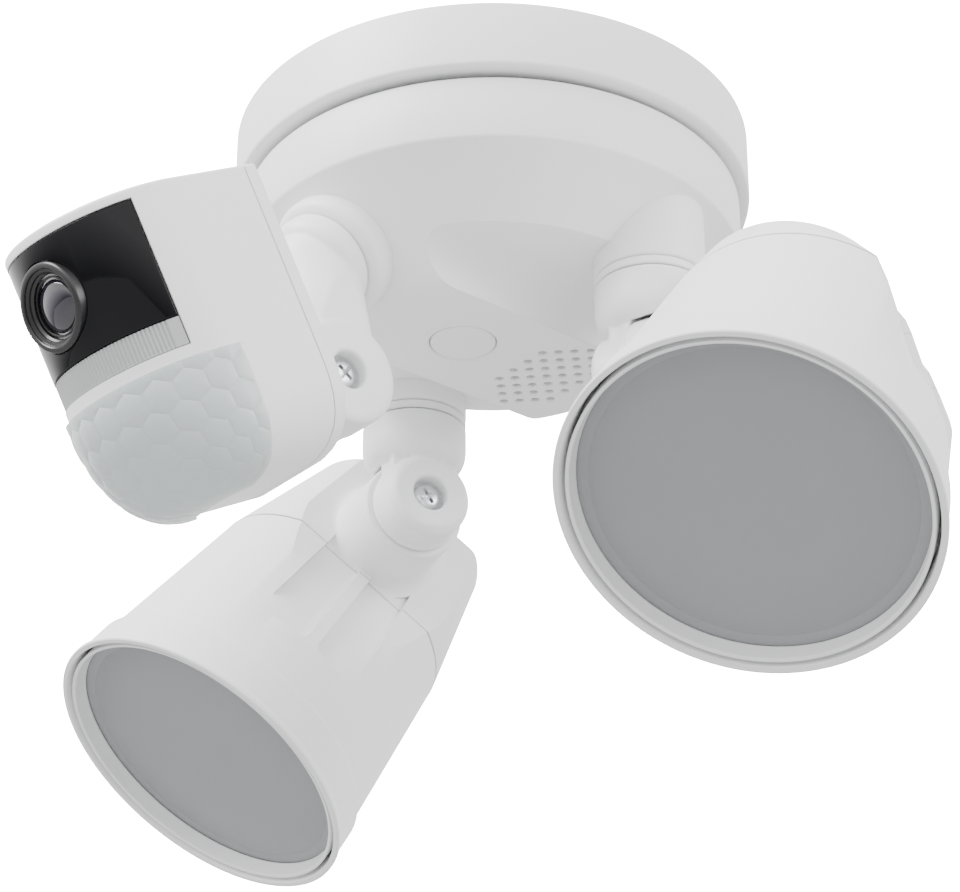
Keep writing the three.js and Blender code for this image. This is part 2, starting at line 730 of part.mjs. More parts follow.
function motionRegion(grow) {
  const back = -motionLens.back + grow;
  return block([-50, 50], [-120, back], [-80, motionLens.top + grow]);
}

function cameraBody() {
  const shell = carve(bodySolid(0, seamShift - clearance), bodySolid(body.wall, 10));
  const low = strip.bottom - clearance;
  const opening = frontBand(body.radius - 6, body.radius + 4, low, windowPanel.top, windowPanel.halfAngle);
  return carve(shell, opening, motionRegion(clearance));
}

function cameraRearCover() {
  const whole = bodySolid(0, 0);
  const levels = [body.bottom - 5, ...roundLevels(0), body.top + 5];
  const cover = carve(whole, lofted(levels.map((z) => [
    new THREE.Vector3(-60, -120, z),
    new THREE.Vector3(60, -120, z),
    new THREE.Vector3(60, backAt(z) + seamShift, z),
    new THREE.Vector3(-60, backAt(z) + seamShift, z),
  ])));
  const lugFace = elbow.back - clearance;
  const lugBack = -12;
  const eye = crossRod(elbow.disc - 0.6, lugBack, lugFace, 0, 0, medium);
  const web = block([lugBack, lugFace], [backAt(0) - 1, 0], [-12, 12]);
  const bore = crossRod(screw.shank + slip, -8, 20, 0, 0, 12);
  return carve(fuse(cover, web, eye), bore);
}

function windowGlass() {
  const r = body.radius;
  const high = windowPanel.top - clearance;
  const band = frontBand(r - 2.4, r - 0.15, windowPanel.bottom, high, windowPanel.halfAngle - 0.7);
  return carve(band, lensHole(lens.ring + clearance));
}

function lightStrip() {
  const r = body.radius;
  const high = windowPanel.bottom - clearance;
  return frontBand(r - 2.4, r - 0.3, strip.bottom, high, windowPanel.halfAngle - 0.7, strip.segments);
}

function pirLens() {
  const skin = carve(bodySolid(0.3, seamShift), bodySolid(0.3 + motionLens.thickness, 0));
  return common(skin, motionRegion(0));
}

const pirSensor = () => {
  const can = rod(4.6, 0, 5).rotateX(Math.PI / 2).translate(0, -body.forward - 2, -6);
  const flange = rod(5.6, 0, 1).rotateX(Math.PI / 2).translate(0, -body.forward - 1, -6);
  return fuse(can, flange);
};

// Puts a piece made along Z on the camera lens's axis, with its height counted forwards.
const alongLens = (geometry) => geometry.rotateX(Math.PI / 2).translate(0, -body.forward, lens.z);

function lensRing() {
  const front = body.radius + lens.proud;
  const back = body.radius - 5;
  return alongLens(turned(closed([
    [lens.ringInner, back],
    [lens.ring, back],
    [lens.ring, front - 0.8],
    [lens.ring - 0.8, front],
    [lens.ring - 1.6, front],
    [lens.ringInner, front - 2.4],
  ])));
}

function lensBarrel() {
  const front = body.radius - 2.2;
  const mouth = lens.glass + 0.3;
  const floor = front - 1.5;
  const outside = [[0, 6], [lens.barrel, 6], [lens.barrel, front]];
  return alongLens(turned([...outside, [mouth, front], [mouth, floor], [0, floor]], coarse));
}

function lensGlass() {
  const base = body.radius - 2.2 - 1.5 + clearance;
  const rise = 2.6;
  const heightAt = (share) => base + 0.6 + rise * Math.sqrt(1 - share * share * 0.94);
  const dome = [1, 0.75, 0.5, 0.25, 0].map((share) => [lens.glass * share, heightAt(share)]);
  return alongLens(turned([[0, base], [lens.glass, base], ...dome], coarse));
}

function imageBoard() {
  return block([-13, 13], [-body.forward - 5.5, -body.forward - 4], [lens.z - 13, lens.z + 13]);
}

const cameraBoard = () => fuse(
  block([-26, 26], [-body.forward + 4, -body.forward + 5.6], [-12, 52]),
  block([-8, 8], [-body.forward + 1.5, -body.forward + 4.5], [0, 16]),
  block([10, 20], [-body.forward + 2, -body.forward + 4.5], [26, 36]),
);
const microphone = () => rod(2, 0, 3, 16).rotateX(Math.PI / 2).translate(-18, -body.forward - 2, 4);

function cameraHead() {
  const head = new THREE.Group();
  head.position.set(0, cameraPivot.y, cameraPivot.z);
  head.rotation.x = radians(cameraPivot.tilt);
  head.add(
    piece("camera_body", cameraBody(), whitePlastic()),
    piece("camera_rear_cover", cameraRearCover(), whitePlastic()),
    piece("camera_window", windowGlass(), blackGloss()),
    piece("light_strip", lightStrip(), greyPlastic()),
    piece("pir_lens", pirLens(), greyPlastic()),
    piece("pir_sensor", pirSensor(), steel()),
    piece("lens_ring", lensRing(), darkPlastic()),
    piece("lens_barrel", lensBarrel(), darkPlastic()),
    piece("lens_glass", lensGlass(), blackGloss()),
    piece("image_board", imageBoard(), circuit()),
    piece("camera_board", cameraBoard(), circuit()),
    piece("microphone", microphone(), steel()),
  );
  return head;
}

// ---------------------------------------------------------------- the whole object

const floodlightCamera = new THREE.Group();
floodlightCamera.add(
  piece("back_plate", backPlate(), steel()),
  piece("canopy_ring", canopyRing(), whitePlastic()),
  piece("groove_gasket", grooveGasket(), darkRubber()),
  piece("drum_shell", drumShell(), whitePlastic()),
  piece("main_board", mainBoard(), circuit()),
  piece("power_module", powerModule(), darkPlastic()),
  piece("terminal_block", terminalBlock(), greyPlastic()),
  piece("speaker_driver", speakerDriver(), darkPlastic()),
  piece("button_switch", buttonSwitch(), circuit()),
  piece("pod_button", podButton(), whitePlastic()),
  lampArm("right", lampPose.right),
  lampArm("left", lampPose.left),
  piece("camera_elbow", cameraElbow(), whitePlastic()),
  piece("camera_retainer", cameraRetainer(), steel()),
  piece("camera_tilt_screw", cameraScrew(), steel()),
  cameraHead(),
);

export default floodlightCamera;
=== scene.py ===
import json
import math

import bpy
from bpy.props import FloatProperty, FloatVectorProperty, IntProperty, PointerProperty
from mathutils import Matrix, Vector


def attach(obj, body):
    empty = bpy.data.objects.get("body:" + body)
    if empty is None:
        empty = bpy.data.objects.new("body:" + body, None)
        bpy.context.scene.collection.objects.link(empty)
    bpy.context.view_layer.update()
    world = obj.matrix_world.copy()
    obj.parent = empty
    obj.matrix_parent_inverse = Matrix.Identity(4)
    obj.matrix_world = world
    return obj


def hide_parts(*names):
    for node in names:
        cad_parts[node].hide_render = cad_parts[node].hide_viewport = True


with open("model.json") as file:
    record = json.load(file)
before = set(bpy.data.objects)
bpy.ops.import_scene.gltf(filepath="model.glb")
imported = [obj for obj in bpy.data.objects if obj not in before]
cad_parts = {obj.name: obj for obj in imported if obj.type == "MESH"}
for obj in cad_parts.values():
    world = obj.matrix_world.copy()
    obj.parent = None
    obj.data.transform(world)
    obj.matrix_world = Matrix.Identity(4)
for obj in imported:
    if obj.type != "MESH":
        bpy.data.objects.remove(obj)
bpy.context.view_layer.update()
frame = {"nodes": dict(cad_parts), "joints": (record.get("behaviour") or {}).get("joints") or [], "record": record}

bl_info = {
    "name": "Ceiling floodlight camera",
    "version": (1, 0, 0),
    "blender": (4, 5, 0),
    "location": "View3D > Sidebar > Floodlight",
    "description": "Models the finished surfaces of a ceiling floodlight camera around its packed frame",
    "category": "Add Mesh",
}

MM = 0.001
JOINTS = {joint["name"]: joint for joint in frame["joints"]}
SIDES = {"right": 1, "left": -1}
CLEARANCE = 0.3  # between pieces that touch, in millimetres
SLIP = 0.35  # round a turning shank or spigot
SHANK = 2  # radius of every clamp screw's shank
BORE = SHANK + SLIP
SCREW_HEAD = 2.8  # height of every clamp screw's head
WELD = 1e-7  # distance under which two vertices are one, in metres
SMOOTH_ANGLE = math.radians(32)
SOFT_ANGLE = math.radians(60)  # for the remeshed mouldings
SCREW_ANGLE = math.radians(40)


# ---------------------------------------------------------------- settings

def length(name, millimetres, description):
    return FloatProperty(name=name, description=description, default=millimetres * MM, unit="LENGTH")


def colour(name, value, description):
    return FloatVectorProperty(name=name, description=description, default=value, subtype="COLOR", min=0, max=1)


class BaseSizes(bpy.types.PropertyGroup):
    """Canopy and housing"""

    canopy_radius: length("Canopy radius", 80, "Outer radius of the round cover against the ceiling")
    canopy_height: length("Canopy height", 22, "Depth of the round cover")
    wall: length("Wall", 2.6, "Wall thickness of the canopy and the housing")
    radius: length("Housing radius", 76.7, "Radius of the housing's upright side")
    side: length("Housing side", 20.8, "Height of the housing's upright side")
    depth: length("Cone depth", 28.7, "Height of the cone below the upright side")
    face: length("Face radius", 46, "Radius at which the cone meets the flat lower face")
    face_half: length("Face half width", 24, "Half the width of the flat face between the scoops")
    shelf: length("Shelf", 12, "How far each scoop's shelf lies above the flat face")
    scoop_fillet: length("Scoop fillet", 11, "Radius where each scoop's wall meets its shelf")
    button_radius: length("Button radius", 9.9, "Radius of the round push button")
    hole: length("Speaker hole", 1.25, "Radius of each hole of the speaker grille")


class ArmSizes(bpy.types.PropertyGroup):
    """A lamp arm"""

    collar: length("Collar radius", 16.5, "Radius of the swivelling collar")
    bore: length("Bore", 10.8, "Radius of the boss's bore")
    boss_drop: length("Boss drop", 68.3, "Distance from the ceiling to the housing boss's end")
    seal: length("Seal", 2.6, "Thickness of the seal under the boss")
    collar_height: length("Collar height", 8, "Height of the collar's upright side")
    collar_round: length("Collar rounding", 7, "Height over which the collar narrows to the neck")
    neck: length("Neck radius", 11.9, "Radius of the neck")
    face: length("Knuckle face", 14, "Distance from the arm's axis to the knuckle's flat face")
    knuckle: length("Knuckle radius", 13.8, "Radius of the knuckle")
    screw_head: length("Screw head", 4.5, "Radius of the clamp screw's head")
    recess: length("Recess radius", 5.7, "Radius of the recess round the screw")
    recess_depth: length("Recess depth", 5.6, "Depth of the recess round the screw")


class LampSizes(bpy.types.PropertyGroup):
    """A lamp head"""

    offset: length("Offset", 51.4, "Distance from the arm's axis to the lamp's own axis")
    across: length("Across", 2.5, "How far the lamp's own axis passes beside the tilt axis")
    front: length("Front", 90.8, "Distance from the tilt axis to the rim")
    rim: length("Rim radius", 52.1, "Outer radius of the rim")
    collar_depth: length("Band depth", 15, "Depth of the raised band behind the rim")
    seam: length("Seam", 18.5, "Distance from the tilt axis to the seam of the rear cap")
    seam_radius: length("Seam radius", 42.4, "Radius of the shell at the seam")
    rear: length("Rear", 18.4, "Distance from the tilt axis to the rear end")
    rear_radius: length("Rear radius", 32.3, "Radius of the rear end")
    rear_round: length("Rear rounding", 4.5, "Radius of the rear end's rounded edge")
    rear_shift: length("Rear lean", 11, "How far the rear end leans towards the arm")
    wall: length("Wall", 2.2, "Wall thickness of the lamp's mouldings")
    flat: length("Flattened sides", 30, "Distance from the lamp's axis to its flattened sides")
    flat_edge: length("Flat edge", 10, "Where the flattened sides start to slope, in front of the tilt axis")
    flat_end: length("Flat end", 61.5, "Where the flattened sides meet the round shell")
    flat_rise: length("Flat rise", 47.5, "Distance from the lamp's axis to a flattened side at its end")
    taper: length("Taper", 15, "Distance from the lamp's axis to its outer flattened side at the rear")
    rib_depth: length("Rib height", 1.9, "How far the ribs of the flattened sides stand out")
    boss: length("Boss radius", 16.4, "Radius of the boss that meets the knuckle")
    lens_recess: length("Lens recess", 6.2, "How far the lens lies behind the rim")


class CameraSizes(bpy.types.PropertyGroup):
    """Camera arm and camera head"""

    boss: length("Boss radius", 18.8, "Radius of the housing's camera boss")
    seam: length("Collar radius", 15.8, "Radius of the elbow's collar")
    neck: length("Neck radius", 13.4, "Radius of the elbow's neck")
    disc: length("Disc radius", 16.3, "Radius of the elbow's clamp disc")
    disc_face: length("Disc face", 16, "Distance from the middle to the disc's outer face")
    disc_back: length("Disc back", 1.8, "Distance from the middle to the disc's inner face")
    forward: length("Front centre", 48.8, "Distance from the tilt axis to the centre of the round front")
    radius: length("Body radius", 31, "Radius of the camera's round front")
    top: length("Top", 60.3, "Height of the camera's top above the tilt axis")
    bottom: length("Bottom", 23.4, "Depth of the camera's underside below the tilt axis")
    window_low: length("Window edge", 22.9, "Height of the black window's lower edge")
    window_high: length("Window top", 57.3, "Height of the black window's upper edge")
    strip_low: length("Strip edge", 14.7, "Height of the ribbed strip's lower edge")
    motion_top: length("Motion lens top", 10.7, "Height of the motion lens's upper edge")
    lens_height: length("Lens height", 39.7, "Height of the camera lens above the tilt axis")
    strip_ribs: IntProperty(name="Strip ribs", description="Ribs across the grey strip", default=58)
    cell: length("Motion lens cell", 8.6, "Width of one hexagonal cell of the motion lens")


class FinishColours(bpy.types.PropertyGroup):
    """Colours of the finishes"""

    white: colour("White plastic", (0.86, 0.862, 0.865), "Moulded housings, arms and lamp shells")
    grey: colour("Grey plastic", (0.42, 0.425, 0.43), "Ribbed strip under the window")
    lens: colour("Frosted lens", (0.27, 0.28, 0.29), "Lamp lenses")
    motion: colour("Motion lens", (0.6, 0.62, 0.61), "Faceted motion sensor lens")
    black: colour("Window", (0.004, 0.004, 0.005), "Camera window")
    zinc: colour("Zinc", (0.66, 0.68, 0.7), "Clamp screws")
    rubber: colour("Rubber", (0.03, 0.03, 0.032), "Seals and gaskets")


class StudioSettings(bpy.types.PropertyGroup):
    """Floor, lights and camera"""

    floor_drop: length("Floor drop", 950, "Distance from the ceiling plane down to the floor")
    focal: length("Focal length", 112.5, "Focal length of the camera")
    floor_tone: colour("Floor", (0.4, 0.4, 0.4), "Tone of the floor")
    key_power: FloatProperty(name="Key power", description="Power of the key light", default=30.0, unit="POWER")
    sky_low: FloatProperty(name="Low sky", description="Brightness of the sky under the horizon", default=0.3)
    sky_high: FloatProperty(name="High sky", description="Brightness of the sky above the horizon", default=2.3)
    backdrop: FloatProperty(name="Backdrop", description="Brightness of the sky behind the object", default=30.0)


class FloodlightSettings(bpy.types.PropertyGroup):
    """All settings of the floodlight camera"""

    base: PointerProperty(type=BaseSizes)
    arm: PointerProperty(type=ArmSizes)
    lamp: PointerProperty(type=LampSizes)
    camera: PointerProperty(type=CameraSizes)
    finish: PointerProperty(type=FinishColours)
    studio: PointerProperty(type=StudioSettings)


class InMillimetres:
    """Reads a settings group's lengths in millimetres."""

    def __init__(self, group):
        self.group = group

    def __getattr__(self, name):
        return getattr(self.group, name) / MM


def sizes(group):
    return InMillimetres(getattr(bpy.context.scene.floodlight, group))


# ---------------------------------------------------------------- modelling by hand, in millimetres

def arc(x, z, radius, start, end, steps=6):
    """Points of an arc from one angle in degrees to another."""
    turn = [math.radians(start + (end - start) * i / steps) for i in range(steps + 1)]
    return [(x + radius * math.cos(a), z + radius * math.sin(a)) for a in turn]


def curve(start, control, end, steps=5):
    """Points of a curve that leaves its start and reaches its end along the lines to the control point."""
    def between(t):
        return tuple((1 - t) ** 2 * a + 2 * t * (1 - t) * b + t * t * c for a, b, c in zip(start, control, end))
    return [between(i / steps) for i in range(steps + 1)]


def only(*pieces):
    if bpy.context.mode != "OBJECT":
        bpy.ops.object.mode_set(mode="OBJECT")
    bpy.ops.object.select_all(action="DESELECT")
    for piece in pieces:
        piece.select_set(True)
    bpy.context.view_layer.objects.active = pieces[0]


def edit(piece):
    only(piece)
    bpy.ops.object.mode_set(mode="EDIT")
    bpy.ops.mesh.select_all(action="SELECT")


def close_mesh(piece):
    """Welds doubles, drops slivers, turns every face outwards and goes back to object mode."""
    bpy.ops.mesh.select_all(action="SELECT")
    bpy.ops.mesh.remove_doubles(threshold=WELD)
    bpy.ops.mesh.dissolve_degenerate(threshold=WELD)
    bpy.ops.mesh.normals_make_consistent(inside=False)
    bpy.ops.object.mode_set(mode="OBJECT")
    return piece


def drawn(name, points):
    """A line of edges drawn by extruding one vertex through points in the XZ plane, left in edit mode."""
    if bpy.context.mode != "OBJECT":
        bpy.ops.object.mode_set(mode="OBJECT")
    bpy.ops.object.select_all(action="DESELECT")
    bpy.ops.mesh.primitive_plane_add(size=MM)
    piece = bpy.context.object
    piece.name = name
    bpy.ops.object.mode_set(mode="EDIT")
    bpy.ops.mesh.merge(type="CENTER")
    x, z = points[0]
    bpy.ops.transform.translate(value=(x * MM, 0, z * MM))
    for (x0, z0), (x1, z1) in zip(points, points[1:]):
        step = ((x1 - x0) * MM, 0, (z1 - z0) * MM)
        bpy.ops.mesh.extrude_region_move(TRANSFORM_OT_translate={"value": step})
    bpy.ops.mesh.select_all(action="SELECT")
    return piece


def turned(name, profile, ring=False, steps=96):
    """A profile of (radius, z) points spun about the Z axis. A ring's profile closes on itself."""
    piece = drawn(name, profile + profile[:1] if ring else profile)
    bpy.ops.mesh.spin(steps=steps, angle=math.tau, center=(0, 0, 0), axis=(0, 0, 1))
    return close_mesh(piece)


def rod(name, radius, low, high, steps=48):
    return turned(name, [(0, low), (radius, low), (radius, high), (0, high)], steps=steps)


def prism(name, outline, low, high):
    """An outline in the XZ plane, extruded along Y from low to high."""
    piece = drawn(name, outline + outline[:1])
    bpy.ops.mesh.remove_doubles(threshold=WELD)
    bpy.ops.transform.translate(value=(0, low * MM, 0))
    bpy.ops.mesh.edge_face_add()
    bpy.ops.mesh.extrude_region_move(TRANSFORM_OT_translate={"value": (0, (high - low) * MM, 0)})
    return close_mesh(piece)


def block(name, x, y, z):
    return prism(name, [(x[0], z[0]), (x[1], z[0]), (x[1], z[1]), (x[0], z[1])], *y)


def moved(piece, matrix):
    """Puts a piece in place and applies that place to its mesh."""
    only(piece)
    piece.matrix_world = matrix
    bpy.ops.object.transform_apply(location=True, rotation=True, scale=True)
    if matrix.determinant() < 0:
        edit(piece)
        close_mesh(piece)
    return piece


def shifted(piece, x=0, y=0, z=0):
    return moved(piece, Matrix.Translation(Vector((x, y, z)) * MM))


def along_x(piece, y=0, z=0):
    """Lays a piece made along Z down along X, at this height and depth."""
    moved(piece, Matrix.Rotation(math.pi / 2, 4, "Y"))
    return shifted(piece, y=y, z=z) if y or z else piece


def copied(piece, name):
    only(piece)
    bpy.ops.object.duplicate()
    bpy.context.object.name = name
    return bpy.context.object


def applied(piece, kind, **values):
    """Adds a modifier with these values and applies it."""
    only(piece)
    modifier = piece.modifiers.new(kind.title(), kind)
    for name, value in values.items():
        setattr(modifier, name, value)
    bpy.ops.object.modifier_apply(modifier=modifier.name)
    return piece


def combined(piece, operation, *tools):
    for tool in tools:
        applied(piece, "BOOLEAN", operation=operation, object=tool, solver="MANIFOLD")
        bpy.data.objects.remove(tool)
    return piece


def cut(piece, *tools):
    return combined(piece, "DIFFERENCE", *tools)


def fused(piece, *others):
    return combined(piece, "UNION", *others)


def common(piece, *others):
    return combined(piece, "INTERSECT", *others)


def joined(pieces):
    """Several separate pieces as one object."""
    only(*pieces)
    if len(pieces) > 1:
        bpy.ops.object.join()
    return bpy.context.object


def softened(piece, voxel, passes=5):
    """Remeshes a piece evenly and relaxes it, so that its joins get the small fillets of a moulding."""
    applied(piece, "REMESH", mode="VOXEL", voxel_size=voxel * MM)
    return applied(piece, "SMOOTH", factor=0.5, iterations=passes)


def finished(piece, node, body, material_slot, angle=SMOOTH_ANGLE):
    """Gives a piece its shading, finish and body, and hides its CAD node."""
    only(piece)
    bpy.ops.object.shade_smooth_by_angle(angle=angle)
    piece.data.materials.clear()
    piece.data.materials.append(FINISHES[material_slot])
    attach(piece, body)
    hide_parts(node)
    return piece


# ---------------------------------------------------------------- finishes

FINISHES = {}


def surface(slot, tint, roughness, grain=0.5, depth=0.02, tone=0.02, edge=0.0, metallic=0.0, **sockets):
    """A moulded finish: broad changes of tone, a fine grain in its relief and its gloss, and rounded edges."""
    material = bpy.data.materials.new(slot + "_finish")
    material.use_nodes = True
    nodes, links = material.node_tree.nodes, material.node_tree.links
    shader = nodes["Principled BSDF"]
    shader.inputs["Metallic"].default_value = metallic
    for name, value in sockets.items():
        shader.inputs[name.replace("_", " ")].default_value = value
    place = nodes.new("ShaderNodeTexCoord").outputs["Object"]
    broad = nodes.new("ShaderNodeTexNoise")
    broad.inputs["Scale"].default_value = 35
    broad.inputs["Detail"].default_value = 3
    fine = nodes.new("ShaderNodeTexNoise")
    fine.inputs["Scale"].default_value = 1 / (grain * MM)
    fine.inputs["Detail"].default_value = 2
    for noise in (broad, fine):
        links.new(place, noise.inputs["Vector"])
    blend = nodes.new("ShaderNodeMix")
    blend.data_type = "RGBA"
    blend.inputs["A"].default_value = [c * (1 - tone) for c in tint] + [1]
    blend.inputs["B"].default_value = [min(1, c * (1 + tone)) for c in tint] + [1]
    links.new(broad.outputs["Fac"], blend.inputs["Factor"])
    links.new(blend.outputs["Result"], shader.inputs["Base Color"])
    gloss = nodes.new("ShaderNodeMapRange")
    gloss.inputs["To Min"].default_value = max(0, roughness - 0.06)
    gloss.inputs["To Max"].default_value = roughness + 0.06
    links.new(fine.outputs["Fac"], gloss.inputs["Value"])
    links.new(gloss.outputs["Result"], shader.inputs["Roughness"])
    bump = nodes.new("ShaderNodeBump")
    bump.inputs["Strength"].default_value = 0.6
    bump.inputs["Distance"].default_value = depth * MM
    links.new(fine.outputs["Fac"], bump.inputs["Height"])
    if edge:
        rounding = nodes.new("ShaderNodeBevel")
        rounding.samples = 4
        rounding.inputs["Radius"].default_value = edge * MM
        links.new(rounding.outputs["Normal"], bump.inputs["Normal"])
    links.new(bump.outputs["Normal"], shader.inputs["Normal"])
    FINISHES[slot] = material
    return material


def make_finishes():
    tint = bpy.context.scene.floodlight.finish
    surface("white_plastic", tint.white, 0.42, grain=0.45, depth=0.012, tone=0.012, edge=0.45)
    surface("grey_plastic", tint.grey, 0.4, grain=0.4, depth=0.01)
    surface("black_window", tint.black, 0.05, grain=2, depth=0.001, Specular_IOR_Level=0.22)
    surface("dark_plastic", (0.012, 0.012, 0.013), 0.3, grain=0.4, depth=0.01, edge=0.2)
    surface("frosted_lens", tint.lens, 0.36, grain=0.3, depth=0.006, tone=0.03)
    surface("motion_lens", tint.motion, 0.3, grain=1.2, depth=0.01, tone=0.04, Subsurface_Weight=0.12)
    surface("lens_glass", (0.012, 0.01, 0.02), 0.03, grain=3, depth=0.0005, Coat_Weight=1.0)
    surface("gasket_rubber", tint.rubber, 0.75, grain=0.3, depth=0.02)
    surface("zinc_screw", tint.zinc, 0.26, grain=0.25, depth=0.02, tone=0.1, edge=0.12, metallic=1.0)
    surface("plate_steel", (0.55, 0.56, 0.57), 0.36, grain=0.6, depth=0.02, tone=0.06, metallic=1.0)
    surface("polished_aluminium", (0.8, 0.81, 0.82), 0.22, grain=0.6, depth=0.01, tone=0.03, metallic=1.0)
    surface("circuit_board", (0.012, 0.12, 0.05), 0.35, grain=0.8, depth=0.02, tone=0.2)


# ---------------------------------------------------------------- where things are

def hinge(name):
    """A joint's point in millimetres and its axis."""
    joint = JOINTS[name]
    return Vector(joint["pos_m"]) / MM, Vector(joint["axis"]).normalized()


def arm_place(side):
    """The frame of a lamp arm: X out along its tilt axis, Z up, with heights counted from the ceiling."""
    sign = SIDES[side]
    point, axis = hinge(side + "_lamp_tilt")
    outward = axis * sign
    across = Vector((0, 0, 1)).cross(outward) * sign
    matrix = Matrix((outward, across, Vector((0, 0, 1)))).transposed().to_4x4()
    return Matrix.Translation(Vector((point.x, point.y, 0)) * MM) @ matrix


LAMP_TILTS = {"right": math.radians(34), "left": math.radians(34.9)}
CAMERA_TILT = math.radians(30)


def head_place(side):
    """The frame of a lamp head: X along the tilt axis, Z back along the lamp, from the tilt axis."""
    point, _ = hinge(side + "_lamp_tilt")
    down = Matrix.Translation((0, 0, point.z * MM))
    return arm_place(side) @ down @ Matrix.Rotation(-LAMP_TILTS[side], 4, "X")


def camera_boss_place():
    point, axis = hinge("camera_swivel")
    lean = math.atan2(axis.y, -axis.z)
    return Matrix.Translation(point * MM) @ Matrix.Rotation(lean, 4, "X")


def camera_place():
    point, _ = hinge("camera_tilt")
    return Matrix.Translation(point * MM) @ Matrix.Rotation(CAMERA_TILT, 4, "X")


# ---------------------------------------------------------------- canopy and housing

GASKET = 1.2  # thickness of the gasket
GASKET_INSET, GASKET_WIDTH = 4.6, 8
FLANGE = 12
BOSS_TOP = -42  # inside the housing, where the arms' bosses end
CAMERA_BOSS_HEIGHT = 16
CAMERA_BORE = 9.5


def housing_levels():
    base = sizes("base")
    top = -base.canopy_height - GASKET - 2 * CLEARANCE
    edge = top - base.side
    return top, edge, edge - base.depth


def make_canopy():
    base = sizes("base")
    r, h, w = base.canopy_radius, base.canopy_height, base.wall
    lip = 1.4
    profile = [(r - w, 0), (r - w, w - h), (r - FLANGE, w - h), (r - FLANGE, -h)]
    profile += arc(r - lip, lip - h, lip, -90, 0) + arc(r - 0.8, -0.8, 0.8, 0, 90, 3)
    finished(turned("canopy_cover", profile, ring=True, steps=192), "canopy_ring", "base", "white_plastic")
    outer = base.radius - GASKET_INSET
    inner = outer - GASKET_WIDTH
    low, high = -h - CLEARANCE - GASKET, -h - CLEARANCE
    ring = [(inner, low), (outer - 0.4, low), (outer, low + 0.5)]
    ring += [(outer, high - 0.5), (outer - 0.4, high), (inner, high)]
    finished(turned("canopy_gasket", ring, ring=True, steps=160), "groove_gasket", "base", "gasket_rubber")


def housing_solid(name, inset, top, steps=176):
    """The turned housing, offset inwards: an upright side, then a cone down to the rounded flat face."""
    base = sizes("base")
    upper, edge, bottom = housing_levels()
    slope = math.atan2(base.depth, base.radius - base.face)
    shift = inset / math.sin(slope) - inset / math.tan(slope)
    side, low, face = base.radius - inset, bottom + inset, base.face - shift
    profile = [(0, low)] + curve((face - 4.5, low), (face - 1.5, low), (face + 2, low + 3.2))
    profile += [(side - 0.9, edge - 0.25), (side - 0.3, edge + 0.2), (side, edge + 0.9)]
    profile += arc(side - 1.2, top - 1.2, 1.2, 0, 90) + [(0, top)]
    return turned(name, profile, steps=steps)


def scoop_tool(sign, grow):
    base = sizes("base")
    _, _, bottom = housing_levels()
    wall, shelf, r = base.face_half - grow, bottom + base.shelf + grow, base.scoop_fillet + grow
    low, far = bottom - 20, base.radius + 20
    outline = [(wall, low)] + arc(wall + r, shelf - r, r, 180, 90, 16) + [(far, shelf), (far, low)]
    outline = [(sign * x, z) for x, z in outline]
    return prism("scoop", outline, -base.radius, base.radius)


def at_arm(piece, side):
    point, _ = hinge(side + "_lamp_tilt")
    return shifted(piece, x=point.x, y=point.y)


SPEAKER_Y = 21.5
SPEAKER_ROWS, SPEAKER_PITCH, SPEAKER_ROW_PITCH = 7, 6.9, 3.45
BUTTON_Y = -11.5


def speaker_holes():
    base = sizes("base")
    _, _, bottom = housing_levels()
    r, low, high = base.hole, bottom - 1, bottom + base.wall + 1
    profile = [(0, low), (r + 0.45, low), (r + 0.45, bottom), (r, bottom + 0.45), (r, high), (0, high)]
    first = turned("hole", profile, steps=16)
    holes = []
    for row in range(SPEAKER_ROWS):
        step = row - (SPEAKER_ROWS - 1) / 2
        count = int(SPEAKER_ROWS - abs(step))
        for i in range(count):
            hole = copied(first, "hole")
            x = (i - (count - 1) / 2) * SPEAKER_PITCH
            holes.append(shifted(hole, x=x, y=SPEAKER_Y + step * SPEAKER_ROW_PITCH))
    bpy.data.objects.remove(first)
    return joined(holes)


